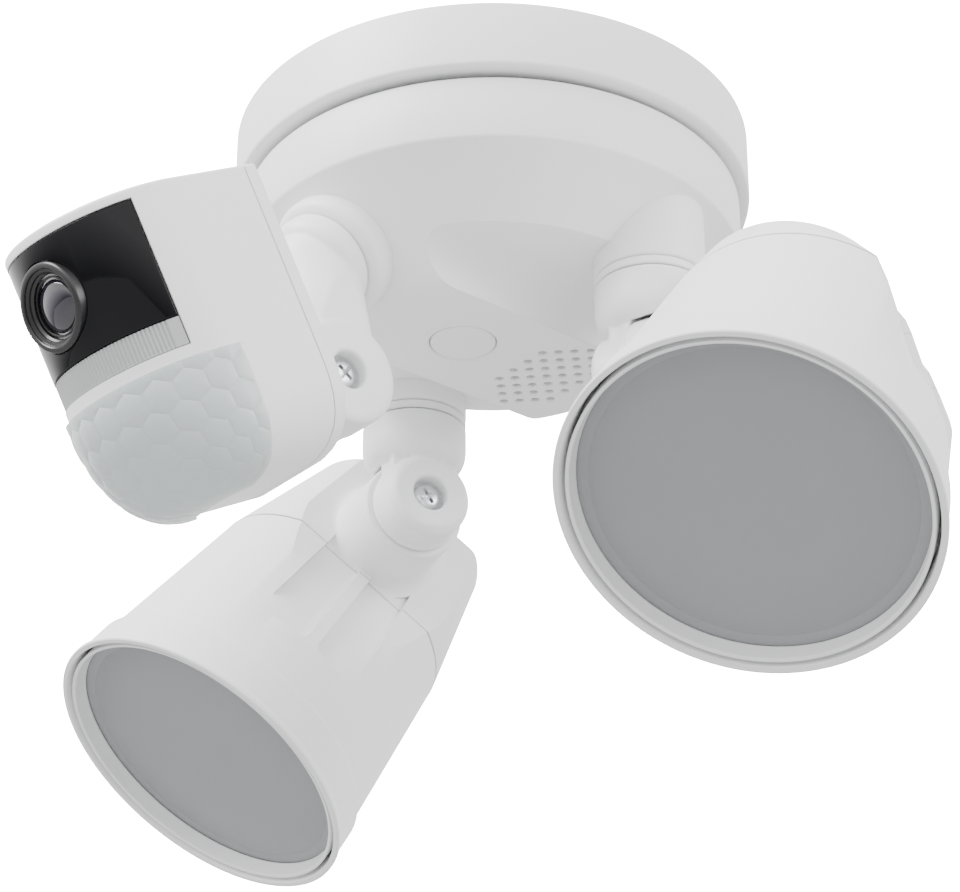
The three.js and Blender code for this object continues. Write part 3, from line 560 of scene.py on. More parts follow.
def make_housing():
    base, arm, cam = sizes("base"), sizes("arm"), sizes("camera")
    top, _, bottom = housing_levels()
    shell = cut(housing_solid("housing_moulding", 0, top), scoop_tool(1, 0), scoop_tool(-1, 0))
    r, drop = arm.collar, -arm.boss_drop
    boss = [(0, drop), (r - 1, drop)] + arc(r - 1, drop + 1, 1, -90, 0, 4)[1:] + [(r, BOSS_TOP), (0, BOSS_TOP)]
    for side in SIDES:
        fused(shell, at_arm(turned("arm_boss", boss), side))
    lip = cam.boss - cam.seam
    camera_boss = [(0, 0), (cam.seam - 0.4, 0)] + arc(cam.seam - 0.4, lip + 0.4, lip + 0.4, -90, 0, 8)[1:]
    camera_boss += [(cam.boss, CAMERA_BOSS_HEIGHT), (0, CAMERA_BOSS_HEIGHT)]
    fused(shell, moved(turned("camera_boss", camera_boss), camera_boss_place()))

    scoops = scoop_tool(1, base.wall), scoop_tool(-1, base.wall)
    hollow = cut(housing_solid("hollow", base.wall, top + 5, 96), *scoops)
    for side in SIDES:
        cut(hollow, at_arm(rod("keep", r - 0.2, bottom, BOSS_TOP + 0.2), side))
    cut(hollow, moved(rod("keep", cam.boss - 0.5, -5, CAMERA_BOSS_HEIGHT + 0.4), camera_boss_place()))
    cut(shell, hollow)
    for side in SIDES:
        cut(shell, at_arm(rod("bore", arm.bore, bottom - 5, BOSS_TOP + 5), side))
    cut(shell, moved(rod("bore", CAMERA_BORE, -10, CAMERA_BOSS_HEIGHT + 5), camera_boss_place()))
    gap = base.button_radius + CLEARANCE
    mouth = [(0, bottom - 1), (gap + 0.5, bottom - 1), (gap + 0.5, bottom)]
    mouth += [(gap, bottom + 0.5), (gap, bottom + 4), (0, bottom + 4)]
    cut(shell, shifted(turned("button_hole", mouth, steps=96), y=BUTTON_Y))
    cut(shell, speaker_holes())
    edit(shell)
    close_mesh(shell)
    finished(shell, "drum_shell", "base", "white_plastic")


def make_button():
    base = sizes("base")
    _, _, bottom = housing_levels()
    r, low = base.button_radius, bottom + 0.1
    profile = [(0, low + 0.05), (r * 0.6, low + 0.02), (r - 0.8, low)] + arc(r - 0.5, low + 0.5, 0.5, -90, 0, 4)
    profile += [(r, low + 3.4), (r - 1.6, low + 3.4), (r - 1.6, low + 2.2)]
    profile += [(3, low + 2.2), (3, low + 7), (0, low + 7)]
    button = shifted(turned("push_button", profile, steps=96), y=BUTTON_Y)
    finished(button, "pod_button", "pod_button", "white_plastic")


# ---------------------------------------------------------------- lamp arms

def arm_levels():
    arm = sizes("arm")
    seal_top = -arm.boss_drop - CLEARANCE
    collar_top = seal_top - arm.seal - CLEARANCE
    return seal_top, collar_top, collar_top - arm.collar_height


def make_seal(side):
    arm = sizes("arm")
    top, _, _ = arm_levels()
    low, r = top - arm.seal, arm.collar - 0.15
    profile = [(arm.bore, low), (r - 0.3, low), (r, low + 0.3)]
    profile += [(r, top - 0.3), (r - 0.3, top), (arm.bore, top)]
    seal = at_arm(turned(side + "_seal_ring", profile, ring=True), side)
    finished(seal, side + "_swivel_seal", "base", "white_plastic")


def arm_solid(name, drop):
    """A lamp arm in its own frame: spigot, collar, neck and knuckle, with the screw's recess."""
    arm, lamp = sizes("arm"), sizes("lamp")
    _, top, low = arm_levels()
    r, neck, spigot = arm.collar, arm.neck, arm.bore - SLIP
    rounded = [(neck + (r - neck) * math.cos(a), low - arm.collar_round * math.sin(a))
               for a in (math.radians(90 * i / 8) for i in range(9))]
    end = BOSS_TOP + 4
    upright = [(0, end), (spigot, end), (spigot, top), (r - 0.6, top), (r, top - 0.6)]
    upright += rounded + [(neck, -drop), (0, -drop)]
    body = turned(name, upright, steps=72)
    seam, k, face = -CLEARANCE - 0.6, arm.knuckle, -arm.face
    disc = [(0, face), (k - 3.1, face)] + curve((k - 2.6, face), (k - 2, face), (k - 1.6, face + 0.5), 3)
    disc += curve((k - 0.5, face + 1.6), (k, face + 2.1), (k, face + 2.8), 3)
    disc += [(k, seam - 3.4), (k + 0.8, seam - 2.6), (k + 0.8, seam - 0.3), (k + 0.5, seam), (0, seam)]
    knuckle = along_x(turned("knuckle", disc, steps=72), z=-drop)
    room = along_x(rod("room", lamp.boss + 1, seam, lamp.offset), z=-drop)
    cut(body, room)
    fused(body, knuckle)
    rib_z = -drop, low - arm.collar_round * 0.45
    for side in (-1, 1):
        x, y = -neck * 0.62, side * neck * 0.82
        fused(body, block("rib", (x - 1.2, x + 1.2), (y - 1.1, y + 1.1), rib_z))
    rr, depth = arm.recess, face + arm.recess_depth
    recess = [(0, face - 1), (rr + 0.6, face - 1), (rr + 0.6, face), (rr, face + 0.6), (rr, depth), (0, depth)]
    cut(body, along_x(turned("recess", recess, steps=64), z=-drop))
    return body


def make_arms():
    point, _ = hinge("right_lamp_tilt")
    model = softened(arm_solid("arm_model", -point.z), 0.5, 4)
    for side in SIDES:
        make_seal(side)
        arm = moved(copied(model, side + "_arm_moulding"), arm_place(side))
        finished(arm, side + "_swivel_arm", side + "_arm", "white_plastic", SOFT_ANGLE)
    bpy.data.objects.remove(model)


def screw_solid(name, length):
    """A pan-head cross-recess screw along X: its head's outer face is at x = 0."""
    arm = sizes("arm")
    r, high, half = arm.screw_head, SCREW_HEAD, arm.screw_head * 0.6
    profile = [(0, 0)] + curve((r * 0.45, 0.05), (r * 0.9, 0.2), (r, 1.3), 6)
    profile += [(r, high), (SHANK, high), (SHANK, length), (0, length)]
    screw = along_x(turned(name, profile, steps=48))
    slot = [(-half, -1), (half, -1), (half, 0.4), (half * 0.35, 1.9), (-half * 0.35, 1.9), (-half, 0.4)]
    for turn in (35, 125):
        spin = Matrix.Rotation(math.pi / 2, 4, "Y") @ Matrix.Rotation(math.radians(turn), 4, "Z")
        cut(screw, moved(prism("slot", slot, -0.6, 0.6), spin))
    return screw


def make_screws():
    arm, cam = sizes("arm"), sizes("camera")
    point, _ = hinge("right_lamp_tilt")
    start = -arm.face + arm.recess_depth - SCREW_HEAD - CLEARANCE
    model = shifted(screw_solid("screw_model", 12 - start), x=start, z=point.z)
    for side in SIDES:
        screw = moved(copied(model, side + "_clamp_screw"), arm_place(side))
        finished(screw, side + "_tilt_screw", side + "_arm", "zinc_screw", SCREW_ANGLE)
    bpy.data.objects.remove(model)
    pivot, _ = hinge("camera_tilt")
    start = cam.disc_face - arm.recess_depth + SCREW_HEAD + CLEARANCE
    place = Matrix.Translation(Vector((start, pivot.y, pivot.z)) * MM) @ Matrix.Rotation(math.pi, 4, "Z")
    screw = moved(screw_solid("camera_clamp_screw", start + 8), place)
    finished(screw, "camera_tilt_screw", "camera_arm", "zinc_screw", SCREW_ANGLE)


# ---------------------------------------------------------------- lamp heads, in the head's own frame

LENS_THICKNESS = 3.6  # with its gasket
RIM_WALL = 3.2


def lens_levels():
    """The lens's front plane, the ledge behind it and the radius of its seat."""
    lamp = sizes("lamp")
    plane = lamp.front - lamp.lens_recess
    return plane, plane - LENS_THICKNESS, lamp.rim - RIM_WALL


def to_lamp_axis(piece):
    lamp = sizes("lamp")
    return shifted(piece, x=lamp.offset, y=lamp.across)


def flat_outlines(grow, reach=120):
    """What each flattened side takes off: one carries the tilt boss, the outer one slopes in at the rear."""
    lamp = sizes("lamp")
    top, end = lamp.rear + 1, -lamp.flat_end
    outlines = []
    for side, at_rear in ((-1, lamp.flat), (1, lamp.taper)):
        line = [(at_rear, top), (lamp.flat, -lamp.flat_edge), (lamp.flat_rise, end)]
        inside = [(side * (x - grow), z) for x, z in line]
        outlines.append([(side * reach, top)] + inside + [(side * reach, end)])
    return outlines


def flat_tools(grow, half=150):
    return [to_lamp_axis(prism("flat", outline, -half, half)) for outline in flat_outlines(grow)]


RIBS = ((-21, -16), (0, 0), (21, 16))  # each rib's middle in front and behind
RIB_HALF = 2.2
POCKET_BACK = 9  # the pockets end this far behind the tilt axis


def pocket_tools(depth):
    """The pockets between the three ribs of each flattened side, fanning out towards the front."""
    lamp = sizes("lamp")
    front, back = -lamp.flat_end + 2.5, POCKET_BACK
    tools = []
    for outline in flat_outlines(depth):
        for low, high in zip(RIBS, RIBS[1:]):
            corners = [(low[0] + RIB_HALF, front), (low[1] + RIB_HALF, back)]
            corners += [(high[1] - RIB_HALF, back), (high[0] - RIB_HALF, front)]
            shape = moved(prism("pocket", corners, -120, 120), Matrix.Rotation(math.pi / 2, 4, "Z"))
            applied(shape, "BEVEL", width=2.6 * MM, segments=5, limit_method="ANGLE", affect="EDGES")
            tools.append(to_lamp_axis(common(prism("skin", outline, -40, 40), shape)))
    return tools


def shell_outer():
    lamp = sizes("lamp")
    back, band = lamp.front - lamp.collar_depth, lamp.rim - 1
    cone, behind, front = band - 1.5, -lamp.seam - CLEARANCE, -lamp.front
    profile = [(0, behind), (lamp.seam_radius - 0.3, behind), (lamp.seam_radius, behind - 0.3)]
    profile += [(cone - 0.8, -back + 1), (cone - 0.6, -back + 0.4)]
    profile += [(band - 1.1, -back - 0.6), (band - 0.8, -back - 1.2)]
    profile += [(band, front + 3.2), (band + 0.2, front + 2.6), (lamp.rim - 0.2, front + 1.9)]
    profile += [(lamp.rim, front + 1.4), (lamp.rim, front + 0.4), (lamp.rim - 0.4, front), (0, front)]
    return to_lamp_axis(turned("lamp_shell_model", profile, steps=144))


def shell_cavity():
    lamp = sizes("lamp")
    _, ledge, lens = lens_levels()
    back, w, front = lamp.front - lamp.collar_depth, lamp.wall, -lamp.front
    seam, throat = lamp.seam_radius - w, lens - 3
    profile = [(0, 0), (seam, 0), (seam, -lamp.seam), (throat - w, -back)]
    profile += [(throat, -back - 2), (throat, -ledge), (lens + CLEARANCE, -ledge)]
    profile += [(lamp.rim - 1.9, front + 0.3), (lamp.rim - 1.5, front - 0.5), (0, front - 0.5)]
    return to_lamp_axis(turned("shell_cavity", profile, steps=144))


def rear_solid(name, inset):
    """The rear's outline: a cone that leans towards the arm as it rises."""
    lamp = sizes("lamp")
    low, seam = -lamp.seam - inset, lamp.seam_radius - inset
    radius, top, rounding = lamp.rear_radius - inset, lamp.rear - inset, lamp.rear_round
    profile = [(0, top)] + arc(radius - rounding, top - rounding, rounding, 90, 10, 10)
    profile += [(seam, -lamp.seam), (seam, low - 0.01), (0, low - 0.01)]
    cone = turned(name, profile, steps=144)
    lean = -lamp.rear_shift / (lamp.rear + lamp.seam)
    shear = Matrix.Identity(4)
    shear[0][2], shear[0][3] = lean, lean * lamp.seam * MM
    cone.data.transform(shear)
    return to_lamp_axis(cone)


BOSS_FLARE = 4.6  # how much wider the tilt boss is where it meets the cap


def rear_cap_solid():
    lamp = sizes("lamp")
    flat = lamp.offset - lamp.flat
    cap = cut(rear_solid("rear_cap_model", 0), *flat_tools(0))
    r = lamp.boss
    boss = [(0, -0.6), (r - 0.8, -0.6)] + arc(r - 0.8, 0.2, 0.8, -90, 0, 4)[1:] + [(r, flat - 7)]
    boss += curve((r, flat - 5.5), (r, flat - 0.2), (r + BOSS_FLARE, flat), 8)[1:]
    boss += [(r + BOSS_FLARE, flat + 1.5), (0, flat + 1.5)]
    cut(cap, *pocket_tools(lamp.rib_depth))
    flare = along_x(turned("boss", boss, steps=96))
    keep = block("keep", (-5, flat + 1.5), (-40, 40), (-lamp.seam + 0.05, lamp.rear - 0.6))
    fused(cap, common(flare, keep))
    cut(cap, cut(rear_solid("cap_cavity", lamp.wall), *flat_tools(lamp.wall + lamp.rib_depth)))
    cut(cap, along_x(rod("bore", BORE, -2, 14, 24)))
    return cap


def lamp_models():
    """The lamp's pieces as (node word, slot, mesh), in the head's frame."""
    lamp = sizes("lamp")
    plane, ledge, lens = lens_levels()
    shell = cut(shell_outer(), *flat_tools(0))
    cut(shell, *pocket_tools(lamp.rib_depth))
    cut(shell, cut(shell_cavity(), *flat_tools(lamp.wall + lamp.rib_depth)))
    cap = rear_cap_solid()
    r, low, high = lens - 0.1, -plane, -ledge - 1.2
    glass = [(0, low - 0.25), (r * 0.5, low - 0.2), (r - 5.2, low), (r - 4.9, low + 0.12), (r - 4.6, low)]
    glass += [(r - 0.5, low), (r, low + 0.5), (r, high), (0, high)]
    lens_piece = to_lamp_axis(turned("lamp_lens_model", glass, steps=128))
    front, back = -lamp.front + 0.9, -plane - CLEARANCE
    ring = [(r, back), (r - 1.7, back), (r - 1.5, back - 0.6)]
    ring += [(r - 1.1, front + 0.3), (r - 0.8, front), (r, front)]
    ring_piece = to_lamp_axis(turned("lens_retainer_model", ring, ring=True, steps=144))
    return [("lamp_shell", "white_plastic", shell), ("lamp_rear_cap", "white_plastic", cap),
            ("lamp_lens", "frosted_lens", lens_piece), ("lens_retainer", "white_plastic", ring_piece)]


def make_lamps():
    for word, material_slot, model in lamp_models():
        for side in SIDES:
            piece = moved(copied(model, side + "_" + word + "_moulding"), head_place(side))
            finished(piece, side + "_" + word, side + "_lamp", material_slot)
        bpy.data.objects.remove(model)


# ---------------------------------------------------------------- camera arm

def make_elbow():
    cam, arm = sizes("camera"), sizes("arm")
    pivot, _ = hinge("camera_tilt")
    swivel, _ = hinge("camera_swivel")
    spigot, collar, end = CAMERA_BORE - SLIP, 4.5, CAMERA_BOSS_HEIGHT + 4
    stub = [(0, end), (spigot, end), (spigot, -CLEARANCE), (cam.seam - 0.5, -CLEARANCE)]
    stub += [(cam.seam, -CLEARANCE - 0.5), (cam.seam, -collar)]
    stub += arc(cam.neck - 2, -collar, cam.seam - cam.neck + 2, 0, -85, 6)[1:] + [(0, -collar - 4.4)]
    elbow = moved(turned("elbow_moulding", stub, steps=72), camera_boss_place())
    start = Vector((0, swivel.y - 4, swivel.z - 5))
    along = Vector(((cam.disc_face + cam.disc_back) / 2, pivot.y, pivot.z)) - start
    tilt = Vector((0, 0, 1)).rotation_difference(along).to_matrix().to_4x4()
    neck = [(0, 0), (cam.neck, 0), (cam.neck - 1.2, along.length), (0, along.length)]
    neck_piece = moved(turned("neck", neck, steps=64), Matrix.Translation(start * MM) @ tilt)
    ball = [(0, -cam.neck)] + arc(0, 0, cam.neck, -80, 80, 16) + [(0, cam.neck)]
    ball_piece = moved(turned("ball", ball, steps=64), Matrix.Translation(start * MM))
    fused(neck_piece, ball_piece)
    cut(neck_piece, moved(rod("behind", 60, -CLEARANCE, 60), camera_boss_place()))
    cut(neck_piece, block("outside", (cam.disc_face - 0.8, 60), (-200, 0), (-200, 0)))
    room = along_x(rod("room", cam.disc + 1, -40, cam.disc_back), pivot.y, pivot.z)
    cut(neck_piece, room)
    fused(elbow, neck_piece)
    r, face, back = cam.disc, cam.disc_face, cam.disc_back
    disc = [(0, back), (r - 0.6, back), (r, back + 0.6)]
    disc += curve((r, face - 2.4), (r, face), (r - 2.6, face)) + [(0, face)]
    fused(elbow, along_x(turned("disc", disc, steps=72), pivot.y, pivot.z))
    rr, deep = arm.recess, face - arm.recess_depth
    recess = [(0, deep), (rr, deep), (rr, face - 0.6), (rr + 0.6, face), (rr + 0.6, face + 1), (0, face + 1)]
    cut(elbow, along_x(turned("recess", recess, steps=64), pivot.y, pivot.z))
    softened(elbow, 0.5, 5)
    finished(elbow, "camera_elbow", "camera_arm", "white_plastic", SOFT_ANGLE)


# ---------------------------------------------------------------- camera head, in its own frame

COVER = 4  # thickness of the rear cover at its edge
ROUND_START = 8  # the rounding of the underside starts at this height
SIDE_ROUND = 3.8  # how squarely the sides turn into the underside
BACK_TOP, BACK_SLOPE, HEEL = 18.2, 0.012, 3.5
HALF_ANGLE = 63.3  # of the window and the strip, from the middle, in degrees
LENS_RING, LENS_INNER, LENS_BARREL, LENS_GLASS = 12.6, 9, 8.4, 7.4
MOTION_BACK = 50


def back_at(z):
    """Where the back lies at a height: almost upright, with its heel curving forward."""
    cam = sizes("camera")
    low = min(1.0, max(0.0, -z / cam.bottom))
    return -(BACK_TOP + (cam.top - z) * BACK_SLOPE + HEEL * low ** 2)


def outline_scale(z):
    """How wide and how deep the outline is at a height, as shares of the body's radius."""
    t = max(0.0, (ROUND_START - z) / (ROUND_START + sizes("camera").bottom))
    return (1 - t ** SIDE_ROUND) ** (1 / SIDE_ROUND), math.sqrt(max(0.0, 1 - t * t))


def on_camera(piece, node, material_slot, angle=SMOOTH_ANGLE):
    return finished(moved(piece, camera_place()), node, "camera_head", material_slot, angle)


def body_solid(name, inset=0.0, back_shift=0.0):
    """The camera's outline: round in front, straight sides to the back, and rounded underneath."""
    cam = sizes("camera")
    outline = arc(0, 0, cam.radius - inset, 0, -180, 56) + [(inset - cam.radius, 20), (cam.radius - inset, 20)]
    bottom, top, crown = -cam.bottom + 0.4 + inset, cam.top - inset, 1.1
    turns = (90, 82, 73, 64, 54, 44, 33, 22, 11, 0)
    low = [ROUND_START + (bottom - ROUND_START) * math.sin(math.radians(turn)) for turn in turns]
    heights = low + [top - crown, top - crown * 0.6, top - crown * 0.2, top]
    pull = [0] * (len(low) + 1) + [crown * 0.12, crown * 0.5, crown]
    piece = drawn(name, outline + outline[:1])
    bpy.ops.mesh.remove_doubles(threshold=WELD)
    bpy.ops.transform.rotate(value=math.pi / 2, orient_axis="X", center_override=(0, 0, 0))
    bpy.ops.mesh.edge_face_add()
    for _ in heights[1:]:
        bpy.ops.mesh.extrude_region_move(TRANSFORM_OT_translate={"value": (0, 0, 10 * MM)})
    bpy.ops.object.mode_set(mode="OBJECT")
    for vertex in piece.data.vertices:
        level = min(len(heights) - 1, max(0, round(vertex.co.z / (10 * MM))))
        z, edge = heights[level], pull[level]
        wide, deep = outline_scale(z)
        x, y = vertex.co.x / MM, vertex.co.y / MM
        shrink = 1 - edge / cam.radius
        if abs(y) < cam.radius - inset + 0.01 and (y < 1e-4 or abs(y) < 1e-3):
            y = -cam.forward + min(0.0, y) * deep * shrink
        else:
            y = back_at(z) + back_shift - edge
        x *= shrink * (cam.radius * wide - inset) / (cam.radius - inset)
        vertex.co = Vector((x, y, z)) * MM
    only(piece)
    bpy.ops.object.mode_set(mode="EDIT")
    return close_mesh(piece)


def front_band(name, inner, outer, low, high, half_angle, steps=64):
    """A curved band of the round front, between two radii and two heights."""
    cam = sizes("camera")
    piece = drawn(name, [(inner, low), (outer, low), (outer, high), (inner, high), (inner, low)])
    bpy.ops.mesh.remove_doubles(threshold=WELD)
    bpy.ops.mesh.edge_face_add()
    angle = math.radians(half_angle)
    bpy.ops.mesh.spin(steps=steps, angle=2 * angle, center=(0, 0, 0), axis=(0, 0, 1))
    close_mesh(piece)
    first = min(math.atan2(v.co.y, v.co.x) for v in piece.data.vertices)
    turn = Matrix.Rotation(-math.pi / 2 - angle - first, 4, "Z")
    moved(piece, turn)
    return shifted(piece, y=-cam.forward)


def forward_turned(name, profile, steps=96):
    """A profile turned about the lens's axis, with its height counted forwards from the body's centre."""
    cam = sizes("camera")
    piece = turned(name, profile, steps=steps, ring=profile[0][0] > 0)
    moved(piece, Matrix.Rotation(math.pi / 2, 4, "X"))
    return shifted(piece, y=-cam.forward, z=cam.lens_height)


def sideways(name, outline, half=60):
    """An outline of (y, z) points, as thick across X as the camera."""
    return moved(prism(name, outline, -half, half), Matrix.Rotation(math.pi / 2, 4, "Z"))


def seam_slab(name, shift):
    """All that lies behind the rear cover's seam."""
    cam = sizes("camera")
    low, high = -cam.bottom - 10, cam.top + 10
    heights = [high, 0] + [-cam.bottom * i / 8 for i in range(1, 9)] + [low]
    return sideways(name, [(60, low), (60, high)] + [(back_at(z) + shift, z) for z in heights])


def motion_region(grow):
    """The space of the motion lens, with its two upper corners rounded."""
    cam = sizes("camera")
    back, top, r = grow - MOTION_BACK, cam.motion_top + grow, 10 + grow
    outline = [(-130, -80), (back, -80)] + arc(back - r, top - r, r, 0, 90, 12) + [(-130, top)]
    return sideways("motion_region", outline)


def make_camera_body():
    cam = sizes("camera")
    body = cut(body_solid("camera_shell"), seam_slab("behind_seam", -COVER - CLEARANCE))
    low = cam.strip_low - CLEARANCE
    cut(body, front_band("opening", cam.radius - 3, cam.radius + 4, low, cam.window_high, HALF_ANGLE + 0.7))
    cut(body, motion_region(CLEARANCE))
    inner = body_solid("camera_hollow", inset=2.4, back_shift=10)
    cut(inner, block("keep_front", (-60, 60), (-130, -cam.forward + 4), (-80, 80)))
    cut(body, inner)
    on_camera(body, "camera_body", "white_plastic")

    cover = common(body_solid("camera_back"), seam_slab("behind_seam", -COVER))
    lug_back, lug_face = -12, cam.disc_back - CLEARANCE
    r = cam.disc - 0.6
    eye = [(0, lug_back), (r - 1.5, lug_back), (r, lug_back + 1.5)]
    eye += [(r, lug_face - 0.5), (r - 0.5, lug_face), (0, lug_face)]
    fused(cover, along_x(turned("eye", eye, steps=72)))
    fused(cover, block("web", (lug_back, lug_face), (back_at(0) - 1, 0), (-12, 12)))
    cut(cover, along_x(rod("bore", BORE, -8, 20, 24)))
    on_camera(cover, "camera_rear_cover", "white_plastic")


def make_camera_front():
    cam = sizes("camera")
    r = cam.radius
    high = cam.window_high - CLEARANCE
    window = front_band("window_panel", r - 2.4, r - 0.12, cam.window_low, high, HALF_ANGLE, 96)
    applied(window, "BEVEL", width=0.35 * MM, segments=3, limit_method="ANGLE", angle_limit=math.radians(60))
    hole = LENS_RING + CLEARANCE
    cut(window, forward_turned("lens_hole", [(0, 0), (hole, 0), (hole, 60), (0, 60)]))
    on_camera(window, "camera_window", "black_window")

    ribs = bpy.context.scene.floodlight.camera.strip_ribs
    high = cam.window_low - CLEARANCE
    strip = front_band("ribbed_strip", r - 2.4, r - 0.3, cam.strip_low, high, HALF_ANGLE, 2 * ribs)
    plain = math.radians(56)
    for vertex in strip.data.vertices:
        x, y = vertex.co.x, vertex.co.y + cam.forward * MM
        angle = math.atan2(x, -y)
        outer = math.hypot(x, y) > (r - 1) * MM
        step = round((angle / math.radians(HALF_ANGLE) + 1) * ribs)
        if outer and abs(angle) < plain and step % 2:
            vertex.co.x, vertex.co.y = x * 0.985, y * 0.985 - cam.forward * MM
    on_camera(strip, "light_strip", "grey_plastic", math.radians(15))


def make_motion_lens():
    """The motion lens: the body's own outline set in a little, dimpled into hexagonal cells."""
    cam = sizes("camera")
    across, up = 190, 96
    bpy.ops.object.select_all(action="DESELECT")
    bpy.ops.mesh.primitive_grid_add(x_subdivisions=across, y_subdivisions=up, size=2)
    lens = bpy.context.object
    lens.name = "motion_lens_skin"
    lift, flat_share, turn = 0.5, 0.07, math.radians(88)
    edge_angle = math.asin((MOTION_BACK - cam.forward) / cam.radius)
    for vertex in lens.data.vertices:
        u, v = (vertex.co.x + 1) / 2, (vertex.co.y + 1) / 2
        angle = edge_angle + (math.pi - 2 * edge_angle) * u
        phi = turn * (1 - v)
        if v > 1 - flat_share:
            z = ROUND_START + (cam.motion_top - ROUND_START) * (v - 1 + flat_share) / flat_share
        else:
            z = ROUND_START - (ROUND_START + cam.bottom) * math.sin(phi - turn * flat_share)
        wide, deep = outline_scale(z)
        s, w = cam.radius * (angle - math.pi / 2), cam.radius * phi
        bulge = hexagon_bulge(s / cam.cell, w / cam.cell)
        inset = 0.45 - lift * bulge
        x = (cam.radius * wide - inset) * math.cos(angle)
        y = -cam.forward - (cam.radius * deep - inset) * math.sin(angle)
        vertex.co = Vector((x, y, z)) * MM
    applied(lens, "SOLIDIFY", thickness=1.4 * MM, offset=-1)
    edit(lens)
    close_mesh(lens)
    on_camera(lens, "pir_lens", "motion_lens", math.radians(25))


def hexagon_bulge(u, v):
    """From 0 at the edge of a hexagonal cell to 1 at its middle, for a honeycomb with cells one unit wide."""
    tall = math.sqrt(3)
    best = 9.0
    for du, dv in ((0, 0), (0.5, tall / 2)):
        x = (u - du + 0.5) % 1 - 0.5
        y = (v - dv + tall / 2) % tall - tall / 2
        best = min(best, max(abs(x), abs(x) * 0.5 + abs(y) * tall / 2))
    return max(0.0, 1 - (2 * best) ** 2) ** 0.6


def make_camera_lens():
    cam = sizes("camera")
    r, front, back = LENS_RING, cam.radius + 0.4, cam.radius - 5
    ring = [(LENS_INNER, back), (r, back), (r, front - 1)]
    ring += curve((r, front - 1), (r, front), (r - 1, front), 4)[1:]
    ring += [(r - 1.6, front), (r - 1.9, front - 0.3), (r - 2.0, front - 0.9), (r - 2.6, front - 1.2)]
    ring += [(r - 2.9, front - 1.2), (r - 3.0, front - 1.8), (LENS_INNER, front - 2.4)]
    on_camera(forward_turned("lens_bezel", ring), "lens_ring", "dark_plastic")
    base = cam.radius - 2.2
    b = LENS_BARREL
    barrel = [(0, 6), (b, 6), (b, base), (b - 0.5, base), (b - 0.5, base - 0.4)]
    barrel += [(b - 0.7, base - 1.5), (0, base - 1.5)]
    on_camera(forward_turned("lens_tube", barrel), "lens_barrel", "dark_plastic")
    g, low = LENS_GLASS, base - 1.2
    dome = [(0, low), (g, low), (g, low + 0.5)]
    for share in (0.97, 0.9, 0.8, 0.68, 0.55, 0.4, 0.25, 0.1, 0):
        dome.append((g * share, low + 2.6 * math.sqrt(1 - share * share * 0.96)))
    on_camera(forward_turned("lens_element", dome), "lens_glass", "lens_glass")


# ---------------------------------------------------------------- studio

EYE = (0.61497, -0.50289, -0.5196)  # the camera's place, in metres
LOOK = (-0.68871, 0.55771, 0.46330)  # the way it looks
LIGHT_AIM = Vector((0, -0.02, -0.1))


def make_studio():
    studio = bpy.context.scene.floodlight.studio
    bpy.ops.object.select_all(action="DESELECT")
    bpy.ops.mesh.primitive_plane_add(size=6, location=(0, 0, -studio.floor_drop))
    floor = bpy.context.object
    floor.name = "studio_floor"
    surface("floor", studio.floor_tone, 0.8, grain=3, depth=0.05, tone=0.01)
    floor.data.materials.append(FINISHES.pop("floor"))

    world = bpy.data.worlds.new("studio_sky")
    world.use_nodes = True
    bpy.context.scene.world = world
    nodes, links = world.node_tree.nodes, world.node_tree.links
    coordinates = nodes.new("ShaderNodeTexCoord")
    split = nodes.new("ShaderNodeSeparateXYZ")
    level = nodes.new("ShaderNodeMapRange")
    level.inputs["From Min"].default_value = -0.25
    level.inputs["From Max"].default_value = 0.12
    level.inputs["To Min"].default_value = studio.sky_low
    level.inputs["To Max"].default_value = studio.sky_high
    links.new(coordinates.outputs["Generated"], split.inputs["Vector"])
    links.new(split.outputs["Z"], level.inputs["Value"])
    backdrop = nodes.new("ShaderNodeLightPath").outputs["Is Camera Ray"]
    seen = nodes.new("ShaderNodeMix")  # the sky that the camera sees is evenly bright
    seen.inputs["B"].default_value = studio.backdrop
    links.new(backdrop, seen.inputs["Factor"])
    links.new(level.outputs["Result"], seen.inputs["A"])
    links.new(seen.outputs["Result"], nodes["Background"].inputs["Strength"])
    nodes["Background"].inputs["Color"].default_value = (1, 1, 1, 1)

    for name, place, size, power in (
        ("key_light", (-0.15, -1.0, 0.75), 0.7, studio.key_power),
        ("side_light", (1.2, 0.5, 0.3), 0.6, studio.key_power * 0.25),
    ):
        bpy.ops.object.light_add(type="AREA", location=place)
        light = bpy.context.object
        light.name = name
        light.data.size = size
        light.data.energy = power
        light.rotation_euler = (LIGHT_AIM - Vector(place)).to_track_quat("-Z", "Y").to_euler()

    bpy.ops.object.camera_add(location=EYE)
    camera = bpy.context.object
    camera.name = "studio_camera"
    camera.rotation_euler = Vector(LOOK).to_track_quat("-Z", "Y").to_euler()
    camera.data.lens = studio.focal / MM
    camera.data.sensor_width = 36
    camera.data.clip_start = 0.01
    bpy.context.scene.camera = camera


def dress_frame():
    """Gives every node of the frame the finish of its material slot."""
    for part in frame["record"]["subparts"]:
        mesh = frame["nodes"][part["node"]].data
        mesh.materials.clear()
        mesh.materials.append(FINISHES[part["material_slot"]])


# ---------------------------------------------------------------- operators and panel

class FLOODLIGHT_OT_finishes(bpy.types.Operator):
    """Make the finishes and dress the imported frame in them"""

    bl_idname = "floodlight.finishes"
    bl_label = "Finishes"

    def execute(self, context):
        make_finishes()
        dress_frame()
        return {"FINISHED"}


class FLOODLIGHT_OT_studio(bpy.types.Operator):
    """Add the floor, the lights, the sky and the camera"""

    bl_idname = "floodlight.studio"
    bl_label = "Studio"

    def execute(self, context):
        make_studio()
        return {"FINISHED"}


